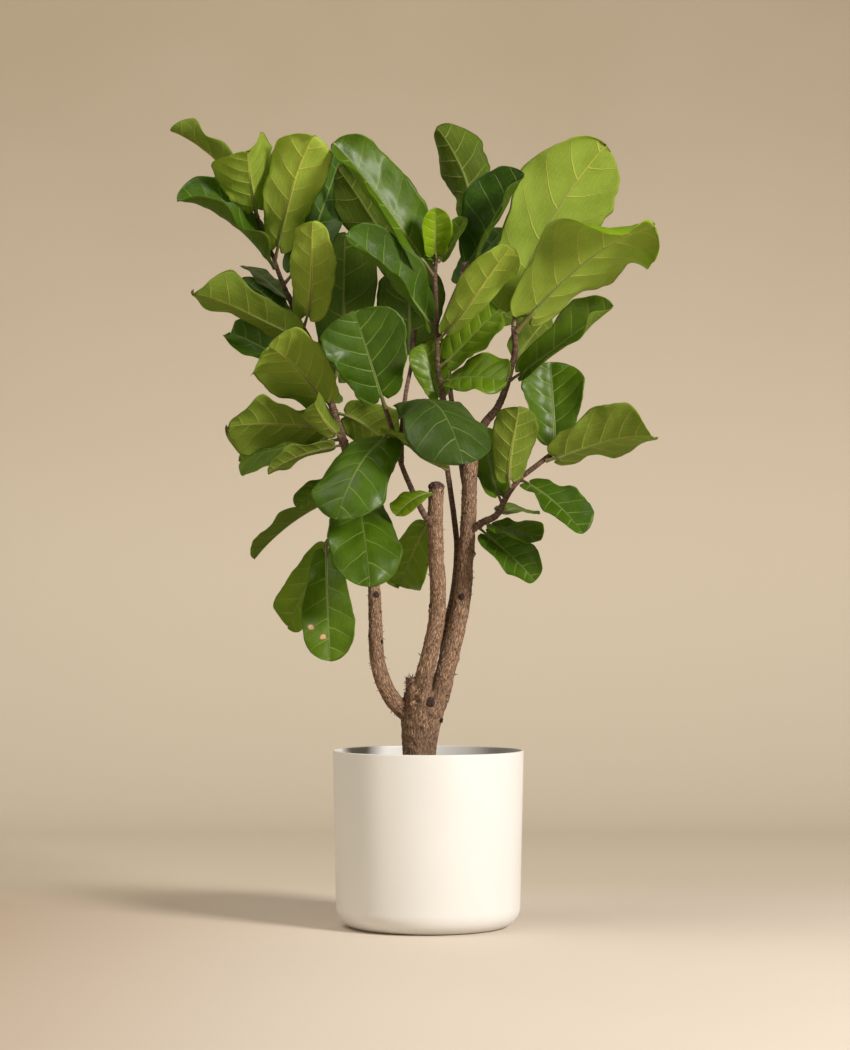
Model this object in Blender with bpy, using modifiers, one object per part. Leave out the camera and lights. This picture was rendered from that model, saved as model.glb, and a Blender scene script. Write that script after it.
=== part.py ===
"""Potted fiddle leaf fig: a white pot, potting soil, a forked woody frame and its leaves.

Metres, +Z up. The origin is the centre of the pot's base, and the front of the plant faces -Y.
"""

from collections import namedtuple
from math import cos, radians, sin

import bmesh
import bpy
from mathutils import Matrix, Quaternion, Vector
from mathutils.bvhtree import BVHTree

# The pot, a straight tub whose wall draws in a little towards a rounded foot.
POT_RIM_RADIUS = 0.150
POT_LOW_RADIUS = 0.1445
POT_HEIGHT = 0.275
POT_FOOT_RADIUS = 0.032
POT_WALL = 0.0042
POT_FLOOR = 0.007
POT_LIP_ROUND = 0.0018
POT_STEPS = 48

# The soil, mounded a little towards the trunk.
SOIL_EDGE_HEIGHT = 0.232
SOIL_MOUND = 0.010
SOIL_GAP = 0.0004

# The woody frame.
ROUTE_STEP = 0.024
TUBE_RESOLUTION = 2

# The leaves. A midrib springs away from its twig by SPRING_OUT and SPRING_UP of its length.
# A leaf that would touch its neighbours leans and rolls in these steps until it clears them.
PETIOLE_SHARE = 0.13
PETIOLE_WIDTH = 0.0052
PETIOLE_DEPTH = 0.0040
PETIOLE_GAP = 0.0012
PETIOLE_TAPER = 0.84
BLADE_THICKNESS = 0.0016
SPRING_OUT = 0.12
SPRING_UP = 0.16
SECOND_CONTROL = 0.70
CLEARANCE = 0.0016
LEAN_STEP = 0.006
MOST_LEANS = 14
ROLL_STEP = 9.0
MOST_ROLLS = 3
ROLL_COST = 1.5

# The bud at the crown's top.
BUD_LENGTH = 0.030
BUD_POINT_RADIUS = 0.0006
BUD_SHARE_OF_TWIG = 0.9

SHARP_EDGE = 40
SHARP_BARK_EDGE = 50

COLOURS = {
    "pot": (0.86, 0.83, 0.77),
    "soil": (0.045, 0.030, 0.020),
    "wood": (0.165, 0.095, 0.060),
    "bud": (0.110, 0.050, 0.045),
    "leaf": (0.070, 0.170, 0.025),
}

# Each stem or twig: its route from its root to its end, and the radius at both ends.
Twig = namedtuple("Twig", "route radii")

TWIGS = {
    "trunk": Twig(
        [(-0.018, 0.004, 0.125), (-0.015, 0.002, 0.20), (-0.014, 0.000, 0.27),
         (-0.011, -0.001, 0.32), (-0.004, -0.002, 0.360)],
        (0.0285, 0.0345),
    ),
    "left_stem": Twig(
        [(-0.014, -0.002, 0.315), (-0.038, -0.010, 0.335), (-0.063, -0.020, 0.367), (-0.079, -0.025, 0.414),
         (-0.083, -0.020, 0.479), (-0.085, -0.010, 0.533), (-0.094, 0.010, 0.606), (-0.111, 0.020, 0.670),
         (-0.124, 0.020, 0.737)],
        (0.0150, 0.0086),
    ),
    "upper_left": Twig(
        [(-0.121, 0.020, 0.725), (-0.144, 0.030, 0.790), (-0.163, 0.040, 0.855), (-0.186, 0.040, 0.919),
         (-0.207, 0.040, 0.959), (-0.236, 0.040, 1.026), (-0.248, 0.040, 1.060), (-0.266, 0.040, 1.101),
         (-0.277, 0.040, 1.136), (-0.289, 0.040, 1.170)],
        (0.0080, 0.0032),
    ),
    "middle_stem": Twig(
        [(-0.006, -0.004, 0.335), (-0.009, -0.020, 0.370), (-0.003, -0.030, 0.404), (0.006, -0.031, 0.442),
         (0.014, -0.030, 0.486), (0.015, -0.030, 0.534), (0.012, -0.030, 0.586), (0.011, -0.030, 0.641),
         (0.013, -0.030, 0.688)],
        (0.0150, 0.0122),
    ),
    "right_stem": Twig(
        [(0.004, 0.000, 0.330), (0.018, 0.000, 0.362), (0.027, 0.003, 0.398), (0.044, 0.010, 0.464),
         (0.055, 0.015, 0.519), (0.059, 0.015, 0.574), (0.063, 0.016, 0.622), (0.065, 0.020, 0.670),
         (0.067, 0.020, 0.717), (0.074, 0.028, 0.758)],
        (0.0175, 0.0120),
    ),
    "upper_right": Twig(
        [(0.071, 0.025, 0.745), (0.089, 0.030, 0.790), (0.109, 0.020, 0.815), (0.122, 0.010, 0.844),
         (0.131, 0.010, 0.876), (0.138, 0.010, 0.908), (0.136, 0.010, 0.942)],
        (0.0085, 0.0045),
    ),
    "thin_stem": Twig(
        [(0.018, 0.012, 0.385), (0.024, 0.030, 0.430), (0.030, 0.042, 0.475), (0.038, 0.050, 0.511),
         (0.044, 0.056, 0.553), (0.046, 0.056, 0.600), (0.041, 0.050, 0.647), (0.035, 0.040, 0.690),
         (0.028, 0.030, 0.742), (0.028, 0.020, 0.789), (0.024, 0.010, 0.836), (0.016, 0.010, 0.876),
         (0.014, 0.010, 0.931), (0.012, 0.010, 0.987), (0.011, 0.010, 1.035), (0.015, 0.006, 1.062)],
        (0.0060, 0.0036),
    ),
    "crown_right": Twig(
        [(0.014, 0.010, 0.925), (0.035, 0.030, 0.982), (0.051, 0.040, 1.023), (0.062, 0.040, 1.072),
         (0.068, 0.030, 1.110)],
        (0.0040, 0.0032),
    ),
    "dark_twig": Twig(
        [(0.011, -0.030, 0.622), (-0.007, -0.046, 0.645), (-0.028, -0.050, 0.688), (-0.044, -0.043, 0.729),
         (-0.056, -0.050, 0.776), (-0.067, -0.060, 0.809)],
        (0.0055, 0.0036),
    ),
    "inner_twig": Twig(
        [(-0.042, -0.044, 0.722), (-0.041, -0.015, 0.787), (-0.035, 0.010, 0.841), (-0.026, 0.030, 0.891),
         (-0.021, 0.040, 0.943)],
        (0.0042, 0.0032),
    ),
    "left_low": Twig(
        [(-0.092, 0.006, 0.602), (-0.121, 0.012, 0.625), (-0.142, 0.000, 0.622), (-0.158, -0.010, 0.604)],
        (0.0050, 0.0034),
    ),
    "left_middle": Twig(
        [(-0.122, 0.020, 0.730), (-0.139, -0.010, 0.769), (-0.154, -0.030, 0.801)],
        (0.0058, 0.0040),
    ),
    "right_low": Twig(
        [(0.063, 0.016, 0.618), (0.087, 0.000, 0.634), (0.108, -0.010, 0.645), (0.126, -0.010, 0.678),
         (0.146, -0.010, 0.703), (0.170, -0.010, 0.722), (0.196, -0.010, 0.742)],
        (0.0064, 0.0040),
    ),
    "rear": Twig(
        [(0.065, 0.018, 0.660), (0.056, 0.060, 0.715), (0.046, 0.100, 0.788), (0.036, 0.120, 0.855),
         (0.033, 0.125, 0.922)],
        (0.0060, 0.0040),
    ),
    "dead_stub": Twig(
        [(-0.024, -0.016, 0.345), (-0.032, -0.018, 0.368), (-0.034, -0.018, 0.391)],
        (0.0070, 0.0022),
    ),
}

# Each leaf: the twig that it grows on, how far along, its tip, where its upper side faces, its full
# width, how far its blade bows near the base and near the tip as shares of its length (towards the
# upper side), how far its halves fold up in degrees, and how far its middle is bent aside, in metres.
Leaf = namedtuple("Leaf", "twig along tip faces width bow dip fold bend", defaults=[(0.0, 0.0, 0.0)])

LEAVES = {
    # The front of the crown, which the other leaves make way for.
    "front_blue_green": Leaf(
        "inner_twig", 0.40, (0.052, -0.220, 0.712), (0.2, -0.7, 0.7), 0.136, 0.10, 0.12, -6, (0.0, 0.0, 0.018)
    ),
    "front_round": Leaf("dark_twig", 1.00, (-0.114, -0.140, 0.952), (0.0, -0.9, 0.3), 0.130, 0.05, -0.02, 5),
    "front_left_glossy": Leaf("dark_twig", 0.80, (-0.138, -0.190, 0.630), (-0.2, -0.8, 0.5), 0.116, 0.10, 0.10, -5),
    "front_low_glossy": Leaf("left_stem", 0.84, (-0.088, -0.170, 0.529), (0.0, -0.7, 0.7), 0.114, 0.16, 0.12, -6),
    "front_hanging": Leaf("left_low", 1.00, (-0.151, -0.090, 0.416), (0.0, -0.95, 0.2), 0.082, 0.05, 0.03, 6),
    "top_right_large": Leaf(
        "upper_right", 0.98, (0.348, -0.120, 1.084), (-0.5, 0.8, 0.6), 0.172, 0.04, 0.02, 6, (-0.014, 0.0, 0.022)
    ),
    "top_right_tall": Leaf(
        "upper_right", 1.00, (0.282, -0.010, 1.232), (-0.3, 0.9, 0.3), 0.156, 0.05, -0.02, 6, (-0.030, 0.0, 0.0)
    ),
    "top_left_bright": Leaf(
        "upper_left", 0.75, (-0.178, -0.080, 1.232), (0.0, 0.9, 0.3), 0.100, 0.02, -0.03, 8, (-0.016, 0.0, 0.0)
    ),
    "top_long_arching": Leaf(
        "thin_stem", 0.95, (-0.149, -0.060, 1.225), (0.5, -0.8, 0.3), 0.116, 0.06, -0.08, 8, (0.012, 0.0, 0.012)
    ),
    "centre_glossy": Leaf(
        "thin_stem", 0.82, (-0.127, -0.110, 1.072), (0.5, -0.7, 0.4), 0.092, 0.06, -0.03, 10, (0.008, 0.0, 0.012)
    ),
    "centre_bright": Leaf("thin_stem", 0.80, (0.126, -0.130, 1.052), (-0.3, 0.9, 0.4), 0.074, 0.03, -0.04, 6),
    # The upper left.
    "tip_left_curled": Leaf(
        "upper_left", 0.97, (-0.418, 0.090, 1.275), (0.5, 0.3, 0.8), 0.070, 0.02, -0.10, 12, (0.018, 0.0, 0.026)
    ),
    "tip_left_front": Leaf("upper_left", 0.90, (-0.280, -0.130, 1.205), (0.0, 0.4, 0.9), 0.104, 0.06, 0.02, 12),
    "left_dark_large": Leaf(
        "upper_left", 0.72, (-0.392, -0.060, 1.136), (0.3, -0.7, 0.6), 0.126, 0.06, 0.02, 8, (0.006, 0.0, 0.020)
    ),
    "left_dark_rear": Leaf("upper_left", 0.66, (-0.142, 0.170, 1.250), (0.3, -0.8, 0.3), 0.084, 0.04, 0.00, 6),
    "left_yellow": Leaf("upper_left", 0.50, (-0.180, -0.060, 1.102), (0.2, 0.9, 0.3), 0.080, 0.04, -0.03, 6),
    "left_olive": Leaf("upper_left", 0.46, (-0.367, -0.040, 0.992), (0.2, 0.6, 0.8), 0.092, 0.06, 0.02, 8),
    "left_grey_small": Leaf("upper_left", 0.54, (-0.305, 0.120, 1.035), (0.3, -0.6, 0.7), 0.060, 0.04, 0.02, 5),
    "left_grey_upper": Leaf("upper_left", 0.60, (-0.300, 0.200, 1.065), (0.5, -0.7, 0.5), 0.054, 0.03, 0.02, 5),
    "left_small_curled": Leaf("upper_left", 0.34, (-0.323, 0.120, 0.948), (-0.4, -0.7, 0.4), 0.060, 0.05, 0.06, 12),
    "left_inner_tall": Leaf("upper_left", 0.28, (-0.136, 0.160, 1.118), (0.1, 0.95, 0.2), 0.110, 0.03, 0.00, 6),
    # The centre of the crown.
    "centre_olive": Leaf("thin_stem", 0.90, (-0.147, 0.130, 1.213), (0.3, 0.9, 0.3), 0.108, 0.04, 0.00, 8),
    "crown_olive": Leaf(
        "crown_right", 1.00, (0.014, 0.050, 1.272), (0.3, 0.9, 0.1), 0.090, 0.04, -0.04, 8, (0.020, 0.0, 0.0)
    ),
    "crown_dark": Leaf("crown_right", 0.64, (0.149, -0.040, 1.182), (-0.5, -0.7, 0.4), 0.090, 0.04, 0.02, 10),
    "crown_dark_rear": Leaf("crown_right", 0.50, (0.130, 0.180, 1.130), (-0.3, -0.8, 0.4), 0.080, 0.04, 0.02, 6),
    "young_bright": Leaf("thin_stem", 0.99, (0.012, -0.040, 1.126), (0.1, -0.9, 0.2), 0.050, 0.04, -0.04, 16),
    "young_dark": Leaf("thin_stem", 0.98, (0.060, 0.000, 1.118), (-0.4, -0.8, 0.3), 0.034, 0.04, -0.02, 16),
    "centre_right_green": Leaf("thin_stem", 0.74, (0.112, -0.060, 0.968), (-0.4, -0.9, 0.3), 0.092, 0.05, 0.02, 6),
    "centre_right_low": Leaf("thin_stem", 0.70, (0.122, -0.080, 0.848), (-0.1, -0.8, 0.6), 0.088, 0.08, 0.06, 4),
    "centre_inner_green": Leaf("thin_stem", 0.66, (-0.008, -0.020, 0.920), (0.1, -0.9, 0.3), 0.066, 0.04, 0.02, 6),
    "centre_dark_olive": Leaf("inner_twig", 0.80, (-0.030, 0.170, 1.068), (0.0, 0.9, 0.3), 0.112, 0.03, 0.02, 6),
    # The right.
    "right_dark_curled": Leaf(
        "upper_right", 0.62, (0.287, -0.080, 0.966), (-0.4, -0.7, 0.5), 0.076, 0.03, -0.06, 12, (0.0, 0.0, 0.010)
    ),
    "right_olive_rear": Leaf("upper_right", 0.76, (0.205, 0.200, 0.985), (0.0, 0.9, 0.3), 0.092, 0.05, 0.03, 6),
    "right_upright": Leaf("right_low", 1.00, (0.194, -0.020, 0.888), (0.0, -0.95, 0.2), 0.100, 0.04, -0.02, 8),
    "right_far": Leaf("right_low", 0.93, (0.346, -0.080, 0.764), (-0.2, 0.6, 0.8), 0.122, 0.10, 0.04, 6),
    "right_lower": Leaf("right_low", 0.66, (0.238, -0.100, 0.612), (0.3, -0.8, 0.5), 0.074, 0.08, 0.04, 8),
    "right_inner_olive": Leaf("right_low", 0.56, (0.142, -0.040, 0.813), (0.1, 0.95, 0.2), 0.074, 0.03, 0.02, 6),
    "right_inner_green": Leaf("right_low", 0.42, (0.086, 0.100, 0.790), (0.2, -0.9, 0.2), 0.076, 0.03, 0.02, 6),
    "right_droop_upper": Leaf("right_low", 0.20, (0.176, -0.040, 0.604), (0.0, -0.5, 0.9), 0.066, 0.10, 0.06, 6),
    "right_droop_lower": Leaf("right_low", 0.12, (0.167, -0.040, 0.540), (0.2, -0.9, 0.2), 0.062, 0.10, 0.04, 8),
    "right_small": Leaf("right_low", 0.30, (0.165, 0.140, 0.655), (0.0, -0.7, 0.7), 0.056, 0.06, 0.04, 6),
    # The left and the middle.
    "left_broad_bright": Leaf(
        "left_middle", 1.00, (-0.246, -0.100, 0.902), (0.1, 0.8, 0.6), 0.130, 0.04, 0.02, 6, (0.0, 0.0, 0.014)
    ),
    "left_broad_olive": Leaf("left_middle", 0.80, (-0.312, -0.060, 0.780), (0.2, 0.7, 0.7), 0.116, 0.06, 0.04, 6),
    "left_behind_broad": Leaf("upper_left", 0.10, (-0.308, 0.140, 0.738), (0.0, -0.8, 0.5), 0.086, 0.06, 0.04, 6),
    "left_olive_low": Leaf("left_middle", 0.40, (-0.251, -0.030, 0.710), (0.0, 0.4, 0.9), 0.066, 0.08, 0.04, 8),
    "left_side_on": Leaf("left_middle", 0.60, (-0.174, -0.135, 0.812), (-0.7, -0.1, 0.6), 0.046, 0.10, 0.02, 14),
    "left_inner_olive": Leaf("upper_left", 0.18, (-0.052, -0.020, 0.752), (0.1, 0.9, 0.3), 0.096, 0.03, 0.02, 6),
    "left_small_hanging": Leaf("left_stem", 0.94, (-0.207, -0.010, 0.656), (-0.5, -0.7, 0.5), 0.052, 0.06, 0.04, 8),
    "left_edge_on": Leaf("left_stem", 0.88, (-0.279, 0.060, 0.577), (-0.5, 0.1, 0.85), 0.070, 0.06, 0.04, 8),
    "left_hanging_light": Leaf("left_low", 0.94, (-0.224, 0.060, 0.468), (-0.2, -0.9, 0.2), 0.070, 0.06, 0.02, 8),
    "behind_low_glossy": Leaf("middle_stem", 0.86, (-0.046, 0.080, 0.533), (0.1, -0.9, 0.3), 0.074, 0.05, 0.04, 6),
    "middle_olive": Leaf("thin_stem", 0.50, (-0.064, -0.120, 0.770), (0.2, 0.8, 0.5), 0.060, 0.04, -0.02, 8),
    "stem_top_small": Leaf("middle_stem", 0.97, (-0.050, -0.100, 0.640), (0.0, -0.6, 0.8), 0.042, 0.08, 0.06, 10),
    # The rear of the crown.
    "rear_left": Leaf("upper_left", 0.22, (-0.250, 0.240, 0.900), (0.0, 0.3, 1.0), 0.110, 0.08, 0.05, 6),
    "rear_centre": Leaf("rear", 0.98, (-0.040, 0.280, 1.060), (0.2, 0.6, 0.8), 0.120, 0.06, 0.04, 6),
    "rear_right": Leaf("rear", 0.94, (0.180, 0.250, 1.030), (-0.2, 0.6, 0.8), 0.118, 0.06, 0.04, 6),
}

# Half width of a blade along its length, from the lobes at its base to its rounded end.
BLADE_OUTLINE = [
    (0.00, 0.30), (0.07, 0.56), (0.26, 0.72), (0.50, 0.90), (0.70, 1.00), (0.88, 0.80), (0.975, 0.38),
]


def smooth_route(points, step):
    """Points about a step apart on a smooth curve through the given points, with their share of its length."""
    ends = [points[0] * 2 - points[1], *points, points[-1] * 2 - points[-2]]
    fine = []
    for before, start, end, after in zip(ends, ends[1:], ends[2:], ends[3:]):
        pieces = max(1, round((end - start).length / step))
        for piece in range(pieces):
            t = piece / pieces
            fine.append(
                0.5 * (2 * start + (end - before) * t + (2 * before - 5 * start + 4 * end - after) * t**2
                       + (3 * start - before - 3 * end + after) * t**3)
            )
    fine.append(points[-1])
    lengths = [0.0]
    for start, end in zip(fine, fine[1:]):
        lengths.append(lengths[-1] + (end - start).length)
    return [(point, length / lengths[-1]) for point, length in zip(fine, lengths)]


def twig_radius(twig, along):
    """A twig flares at its root."""
    return twig.radii[1] + (twig.radii[0] - twig.radii[1]) * (1 - along) ** 2


def twig_at(name, along):
    """The point on a twig's axis, its direction there and its radius."""
    twig = TWIGS[name]
    route = smooth_route([Vector(point) for point in twig.route], ROUTE_STEP)
    radius = twig_radius(twig, along)
    for (start, low), (end, high) in zip(route, route[1:]):
        if high >= along:
            share = (along - low) / (high - low)
            return start.lerp(end, share), (end - start).normalized(), radius
    return route[-1][0], (route[-1][0] - route[-2][0]).normalized(), radius


def material(name, colour, roughness):
    made = bpy.data.materials.new(name)
    made.use_nodes = True
    shader = made.node_tree.nodes["Principled BSDF"]
    shader.inputs["Base Color"].default_value = (*colour, 1.0)
    shader.inputs["Roughness"].default_value = roughness
    return made


def mesh_object(name, bm, look, collection):
    mesh = bpy.data.meshes.new(name)
    bm.to_mesh(mesh)
    bm.free()
    mesh.shade_smooth()
    mesh.set_sharp_from_angle(angle=radians(SHARP_EDGE))
    mesh.materials.append(look)
    made = bpy.data.objects.new(name, mesh)
    collection.objects.link(made)
    return made


def turned(name, profile, look, collection):
    """A solid turned about Z from a profile of (radius, height) points, with a Screw modifier."""
    bm = bmesh.new()
    points = [bm.verts.new((radius, 0.0, height)) for radius, height in profile]
    for start, end in zip(points, points[1:]):
        bm.edges.new((start, end))
    made = mesh_object(name, bm, look, collection)
    screw = made.modifiers.new("Turn", "SCREW")
    screw.steps = screw.render_steps = POT_STEPS
    screw.use_merge_vertices = True
    screw.merge_threshold = 0.0001
    return made


def arc(centre, radius, start, end, steps):
    """Points of an arc from one angle to another, in degrees."""
    angles = [radians(start + (end - start) * step / steps) for step in range(steps + 1)]
    return [(centre[0] + radius * cos(angle), centre[1] + radius * sin(angle)) for angle in angles]


def pot_inner_radius(height):
    """Radius of the pot's inner wall above its rounded foot."""
    share = (height - POT_FOOT_RADIUS) / (POT_HEIGHT - POT_FOOT_RADIUS)
    return POT_LOW_RADIUS + (POT_RIM_RADIUS - POT_LOW_RADIUS) * share - POT_WALL


def make_pot(collection):
    foot_centre = (POT_LOW_RADIUS - POT_FOOT_RADIUS, POT_FOOT_RADIUS)
    inner_foot = POT_FOOT_RADIUS - POT_WALL
    inner_centre = (foot_centre[0], POT_FLOOR + inner_foot)
    lip_z = POT_HEIGHT - POT_LIP_ROUND
    profile = [(0.0, POT_FLOOR)]
    profile += arc(inner_centre, inner_foot, -90, 0, 4)
    profile += arc((POT_RIM_RADIUS - POT_WALL + POT_LIP_ROUND, lip_z), POT_LIP_ROUND, 180, 90, 2)
    profile += arc((POT_RIM_RADIUS - POT_LIP_ROUND, lip_z), POT_LIP_ROUND, 90, 0, 2)
    profile += arc(foot_centre, POT_FOOT_RADIUS, 0, -90, 6)
    profile.append((0.0, 0.0))
    turned("pot", profile, material("pot_plastic", COLOURS["pot"], 0.42), collection)


def make_soil(collection, cutters):
    """The soil fills the pot to below its rim, and the trunk stands in a hole through its top."""
    gap = SOIL_GAP
    inner_foot = POT_FOOT_RADIUS - POT_WALL - gap
    centre = (POT_LOW_RADIUS - POT_FOOT_RADIUS, POT_FLOOR + POT_FOOT_RADIUS - POT_WALL)
    edge = pot_inner_radius(SOIL_EDGE_HEIGHT) - gap
    profile = [(0.0, SOIL_EDGE_HEIGHT + SOIL_MOUND)]
    profile.append((0.5 * edge, SOIL_EDGE_HEIGHT + 0.75 * SOIL_MOUND))
    profile += [(edge, SOIL_EDGE_HEIGHT)]
    profile += arc(centre, inner_foot, 0, -90, 4)
    profile.append((0.0, POT_FLOOR + gap))
    soil = turned("potting_soil", profile, material("soil", COLOURS["soil"], 0.95), collection)
    hole = tube("trunk_hole", TWIGS["trunk"], cutters, gap)
    cut = soil.modifiers.new("Trunk hole", "BOOLEAN")
    cut.operation = "DIFFERENCE"
    cut.object = hole


def tube(name, twig, collection, grow=0.0):
    """A closed tapered tube along a twig's route, grown by a little where it is a cutter."""
    route = smooth_route([Vector(point) for point in twig.route], ROUTE_STEP)
    curve = bpy.data.curves.new(name, "CURVE")
    curve.dimensions = "3D"
    curve.bevel_depth = twig.radii[0] + grow
    curve.bevel_resolution = TUBE_RESOLUTION
    curve.use_fill_caps = True
    spline = curve.splines.new("POLY")
    spline.points.add(len(route) - 1)
    for point, (place, along) in zip(spline.points, route):
        radius = twig_radius(twig, along) + grow
        if grow and along == 0.0:
            place = place - Vector((0.0, 0.0, grow))
        point.co = (*place, 1.0)
        point.radius = radius / curve.bevel_depth
    drawn = bpy.data.objects.new(name, curve)
    collection.objects.link(drawn)
    bpy.context.view_layer.update()
    mesh = bpy.data.meshes.new_from_object(drawn.evaluated_get(bpy.context.evaluated_depsgraph_get()))
    bm = bmesh.new()
    bm.from_mesh(mesh)
    bmesh.ops.remove_doubles(bm, verts=bm.verts, dist=1e-5)
    bm.to_mesh(mesh)
    bm.free()
    bpy.data.objects.remove(drawn)
    made = bpy.data.objects.new(name, mesh)
    made.display_type = "WIRE"
    made.hide_render = True
    collection.objects.link(made)
    return made


def make_wood(collection, cutters):
    """The trunk, its stems and their twigs grew as one piece, so their tubes are united."""
    branches = bpy.data.collections.new("branches")
    cutters.children.link(branches)
    trunk = tube("trunk_and_branches", TWIGS["trunk"], collection)
    trunk.display_type = "TEXTURED"
    trunk.hide_render = False
    for name, twig in TWIGS.items():
        if name != "trunk":
            tube("branch_" + name, twig, branches)
    union = trunk.modifiers.new("Grown together", "BOOLEAN")
    union.operation = "UNION"
    union.operand_type = "COLLECTION"
    union.collection = branches
    bpy.context.view_layer.update()
    mesh = bpy.data.meshes.new_from_object(trunk.evaluated_get(bpy.context.evaluated_depsgraph_get()))
    trunk.modifiers.clear()
    trunk.data = mesh
    mesh.materials.clear()
    mesh.materials.append(material("bark", COLOURS["wood"], 0.85))
    mesh.shade_smooth()
    mesh.set_sharp_from_angle(angle=radians(SHARP_BARK_EDGE))
    for branch in list(branches.objects):
        bpy.data.objects.remove(branch)
    bpy.data.collections.remove(branches)
    return mesh


def leaf_spine(leaf, pose):
    """The four control points of a leaf's midrib, the direction across its blade and the way out of its twig."""
    lean, roll = pose
    axis, direction, radius = twig_at(leaf.twig, leaf.along)
    tip = Vector(leaf.tip) + Vector((0.0, lean, 0.0))
    chord = tip - axis
    outward = chord - direction * chord.dot(direction)
    if leaf.along == 1.0:
        outward = outward + direction * chord.length
        base = axis + outward.normalized() * PETIOLE_GAP + direction * (radius * 0.5 + PETIOLE_GAP)
    else:
        base = axis + outward.normalized() * (radius + PETIOLE_GAP)
    outward.normalize()
    chord = tip - base
    length = chord.length
    along = chord.normalized()
    upper = Vector(leaf.faces)
    upper = (upper - along * upper.dot(along)).normalized()
    upper.rotate(Quaternion(along, radians(roll)))
    across = along.cross(upper).normalized()
    bend = Vector(leaf.bend)
    return (
        base,
        base + outward * SPRING_OUT * length + chord * SPRING_UP + upper * leaf.bow * length + bend,
        base + chord * SECOND_CONTROL + upper * (leaf.bow + leaf.dip) * length + bend,
        tip,
    ), across, outward


def bezier(controls, t):
    a, b, c, d = controls
    place = a * (1 - t) ** 3 + b * 3 * t * (1 - t) ** 2 + c * 3 * t**2 * (1 - t) + d * t**3
    heading = (b - a) * (1 - t) ** 2 + (c - b) * 2 * t * (1 - t) + (d - c) * t**2
    return place, heading.normalized()


def leaf_rings(leaf, pose, grow):
    """Rings of eight points along a leaf, from its petiole's foot to its tip."""
    controls, across, outward = leaf_spine(leaf, pose)
    half = 0.5 * leaf.width + grow
    petiole = Vector((0.5 * PETIOLE_WIDTH, 0.5 * PETIOLE_DEPTH))
    stations = [(0.0, *petiole, 0.0), (0.8 * PETIOLE_SHARE, *(petiole * PETIOLE_TAPER), 0.0)]
    for along, share in BLADE_OUTLINE:
        t = PETIOLE_SHARE + (1 - PETIOLE_SHARE) * along
        stations.append((t, half * share, 0.5 * BLADE_THICKNESS, leaf.fold))
    rings = []
    for t, width, depth, fold in stations:
        place, heading = bezier(controls, t)
        up = across.cross(heading).normalized()
        side = heading.cross(up).normalized()
        rise = width * sin(radians(fold))
        depth += grow if fold or width > PETIOLE_WIDTH else 0.0
        ring = [
            place + side * width + up * rise,
            place + side * width * 0.5 + up * (0.5 * rise + depth),
            place + up * depth,
            place - side * width * 0.5 + up * (0.5 * rise + depth),
            place - side * width + up * rise,
            place - side * width * 0.5 + up * (0.5 * rise - depth),
            place - up * depth,
            place + side * width * 0.5 + up * (0.5 * rise - depth),
        ]
        rings.append(ring)
    # The petiole's foot lies flat against its twig.
    foot = controls[0]
    rings[0] = [point - outward * outward.dot(point - foot) for point in rings[0]]
    return rings


def loft(rings):
    """Faces between neighbouring rings, and a cap on each end, as indices."""
    count = len(rings[0])
    faces = [tuple(range(count))[::-1]]
    for low in range(len(rings) - 1):
        for side in range(count):
            after = (side + 1) % count
            here = low * count
            faces.append((here + side, here + after, here + count + after, here + count + side))
    last = (len(rings) - 1) * count
    faces.append(tuple(range(last, last + count)))
    return faces


def tree_of(rings):
    points = [point for ring in rings for point in ring]
    return BVHTree.FromPolygons(points, loft(rings))


def poses():
    """Leans forwards or back, in metres at the tip, with rolls in degrees, from the least moved to the most."""
    leans = [LEAN_STEP * step for step in range(-MOST_LEANS, MOST_LEANS + 1)]
    rolls = [ROLL_STEP * step for step in range(-MOST_ROLLS, MOST_ROLLS + 1)]
    tried = [(lean, roll) for lean in leans for roll in rolls]
    return sorted(tried, key=lambda pose: (abs(pose[0]) / LEAN_STEP + ROLL_COST * abs(pose[1]) / ROLL_STEP, pose))


def settled_pose(leaf, placed, wood):
    """The least lean and roll with which a leaf clears the wood and the leaves placed so far."""
    for pose in poses():
        rings = leaf_rings(leaf, pose, CLEARANCE)
        blade = tree_of(rings)
        if any(blade.overlap(other) for other in placed):
            continue
        if tree_of(rings[1:]).overlap(wood) or tree_of(leaf_rings(leaf, pose, 0.0)).overlap(wood):
            continue
        return pose
    raise ValueError("no pose clears the leaf with its tip at " + str(leaf.tip))


def make_leaves(collection, wood_mesh):
    look = material("leaf", COLOURS["leaf"], 0.35)
    wood = BVHTree.FromPolygons(
        [vertex.co for vertex in wood_mesh.vertices], [tuple(face.vertices) for face in wood_mesh.polygons]
    )
    placed = []
    for name, leaf in LEAVES.items():
        pose = settled_pose(leaf, placed, wood)
        placed.append(tree_of(leaf_rings(leaf, pose, CLEARANCE)))
        rings = leaf_rings(leaf, pose, 0.0)
        bm = bmesh.new()
        points = [bm.verts.new(point) for ring in rings for point in ring]
        for face in loft(rings):
            bm.faces.new([points[index] for index in face])
        bmesh.ops.recalc_face_normals(bm, faces=bm.faces)
        mesh_object("leaf_" + name, bm, look, collection)


def make_bud(collection):
    """The pointed sheath around the crown's next leaf."""
    axis, direction, radius = twig_at("thin_stem", 1.0)
    bm = bmesh.new()
    bmesh.ops.create_cone(
        bm,
        cap_ends=True,
        segments=8,
        radius1=BUD_SHARE_OF_TWIG * radius,
        radius2=BUD_POINT_RADIUS,
        depth=BUD_LENGTH,
    )
    bmesh.ops.translate(bm, verts=bm.verts, vec=(0.0, 0.0, 0.5 * BUD_LENGTH + PETIOLE_GAP))
    turn = direction.to_track_quat("Z", "Y").to_matrix().to_4x4()
    bmesh.ops.transform(bm, matrix=Matrix.Translation(axis) @ turn, verts=bm.verts)
    mesh_object("terminal_bud", bm, material("bud", COLOURS["bud"], 0.6), collection)


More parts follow.
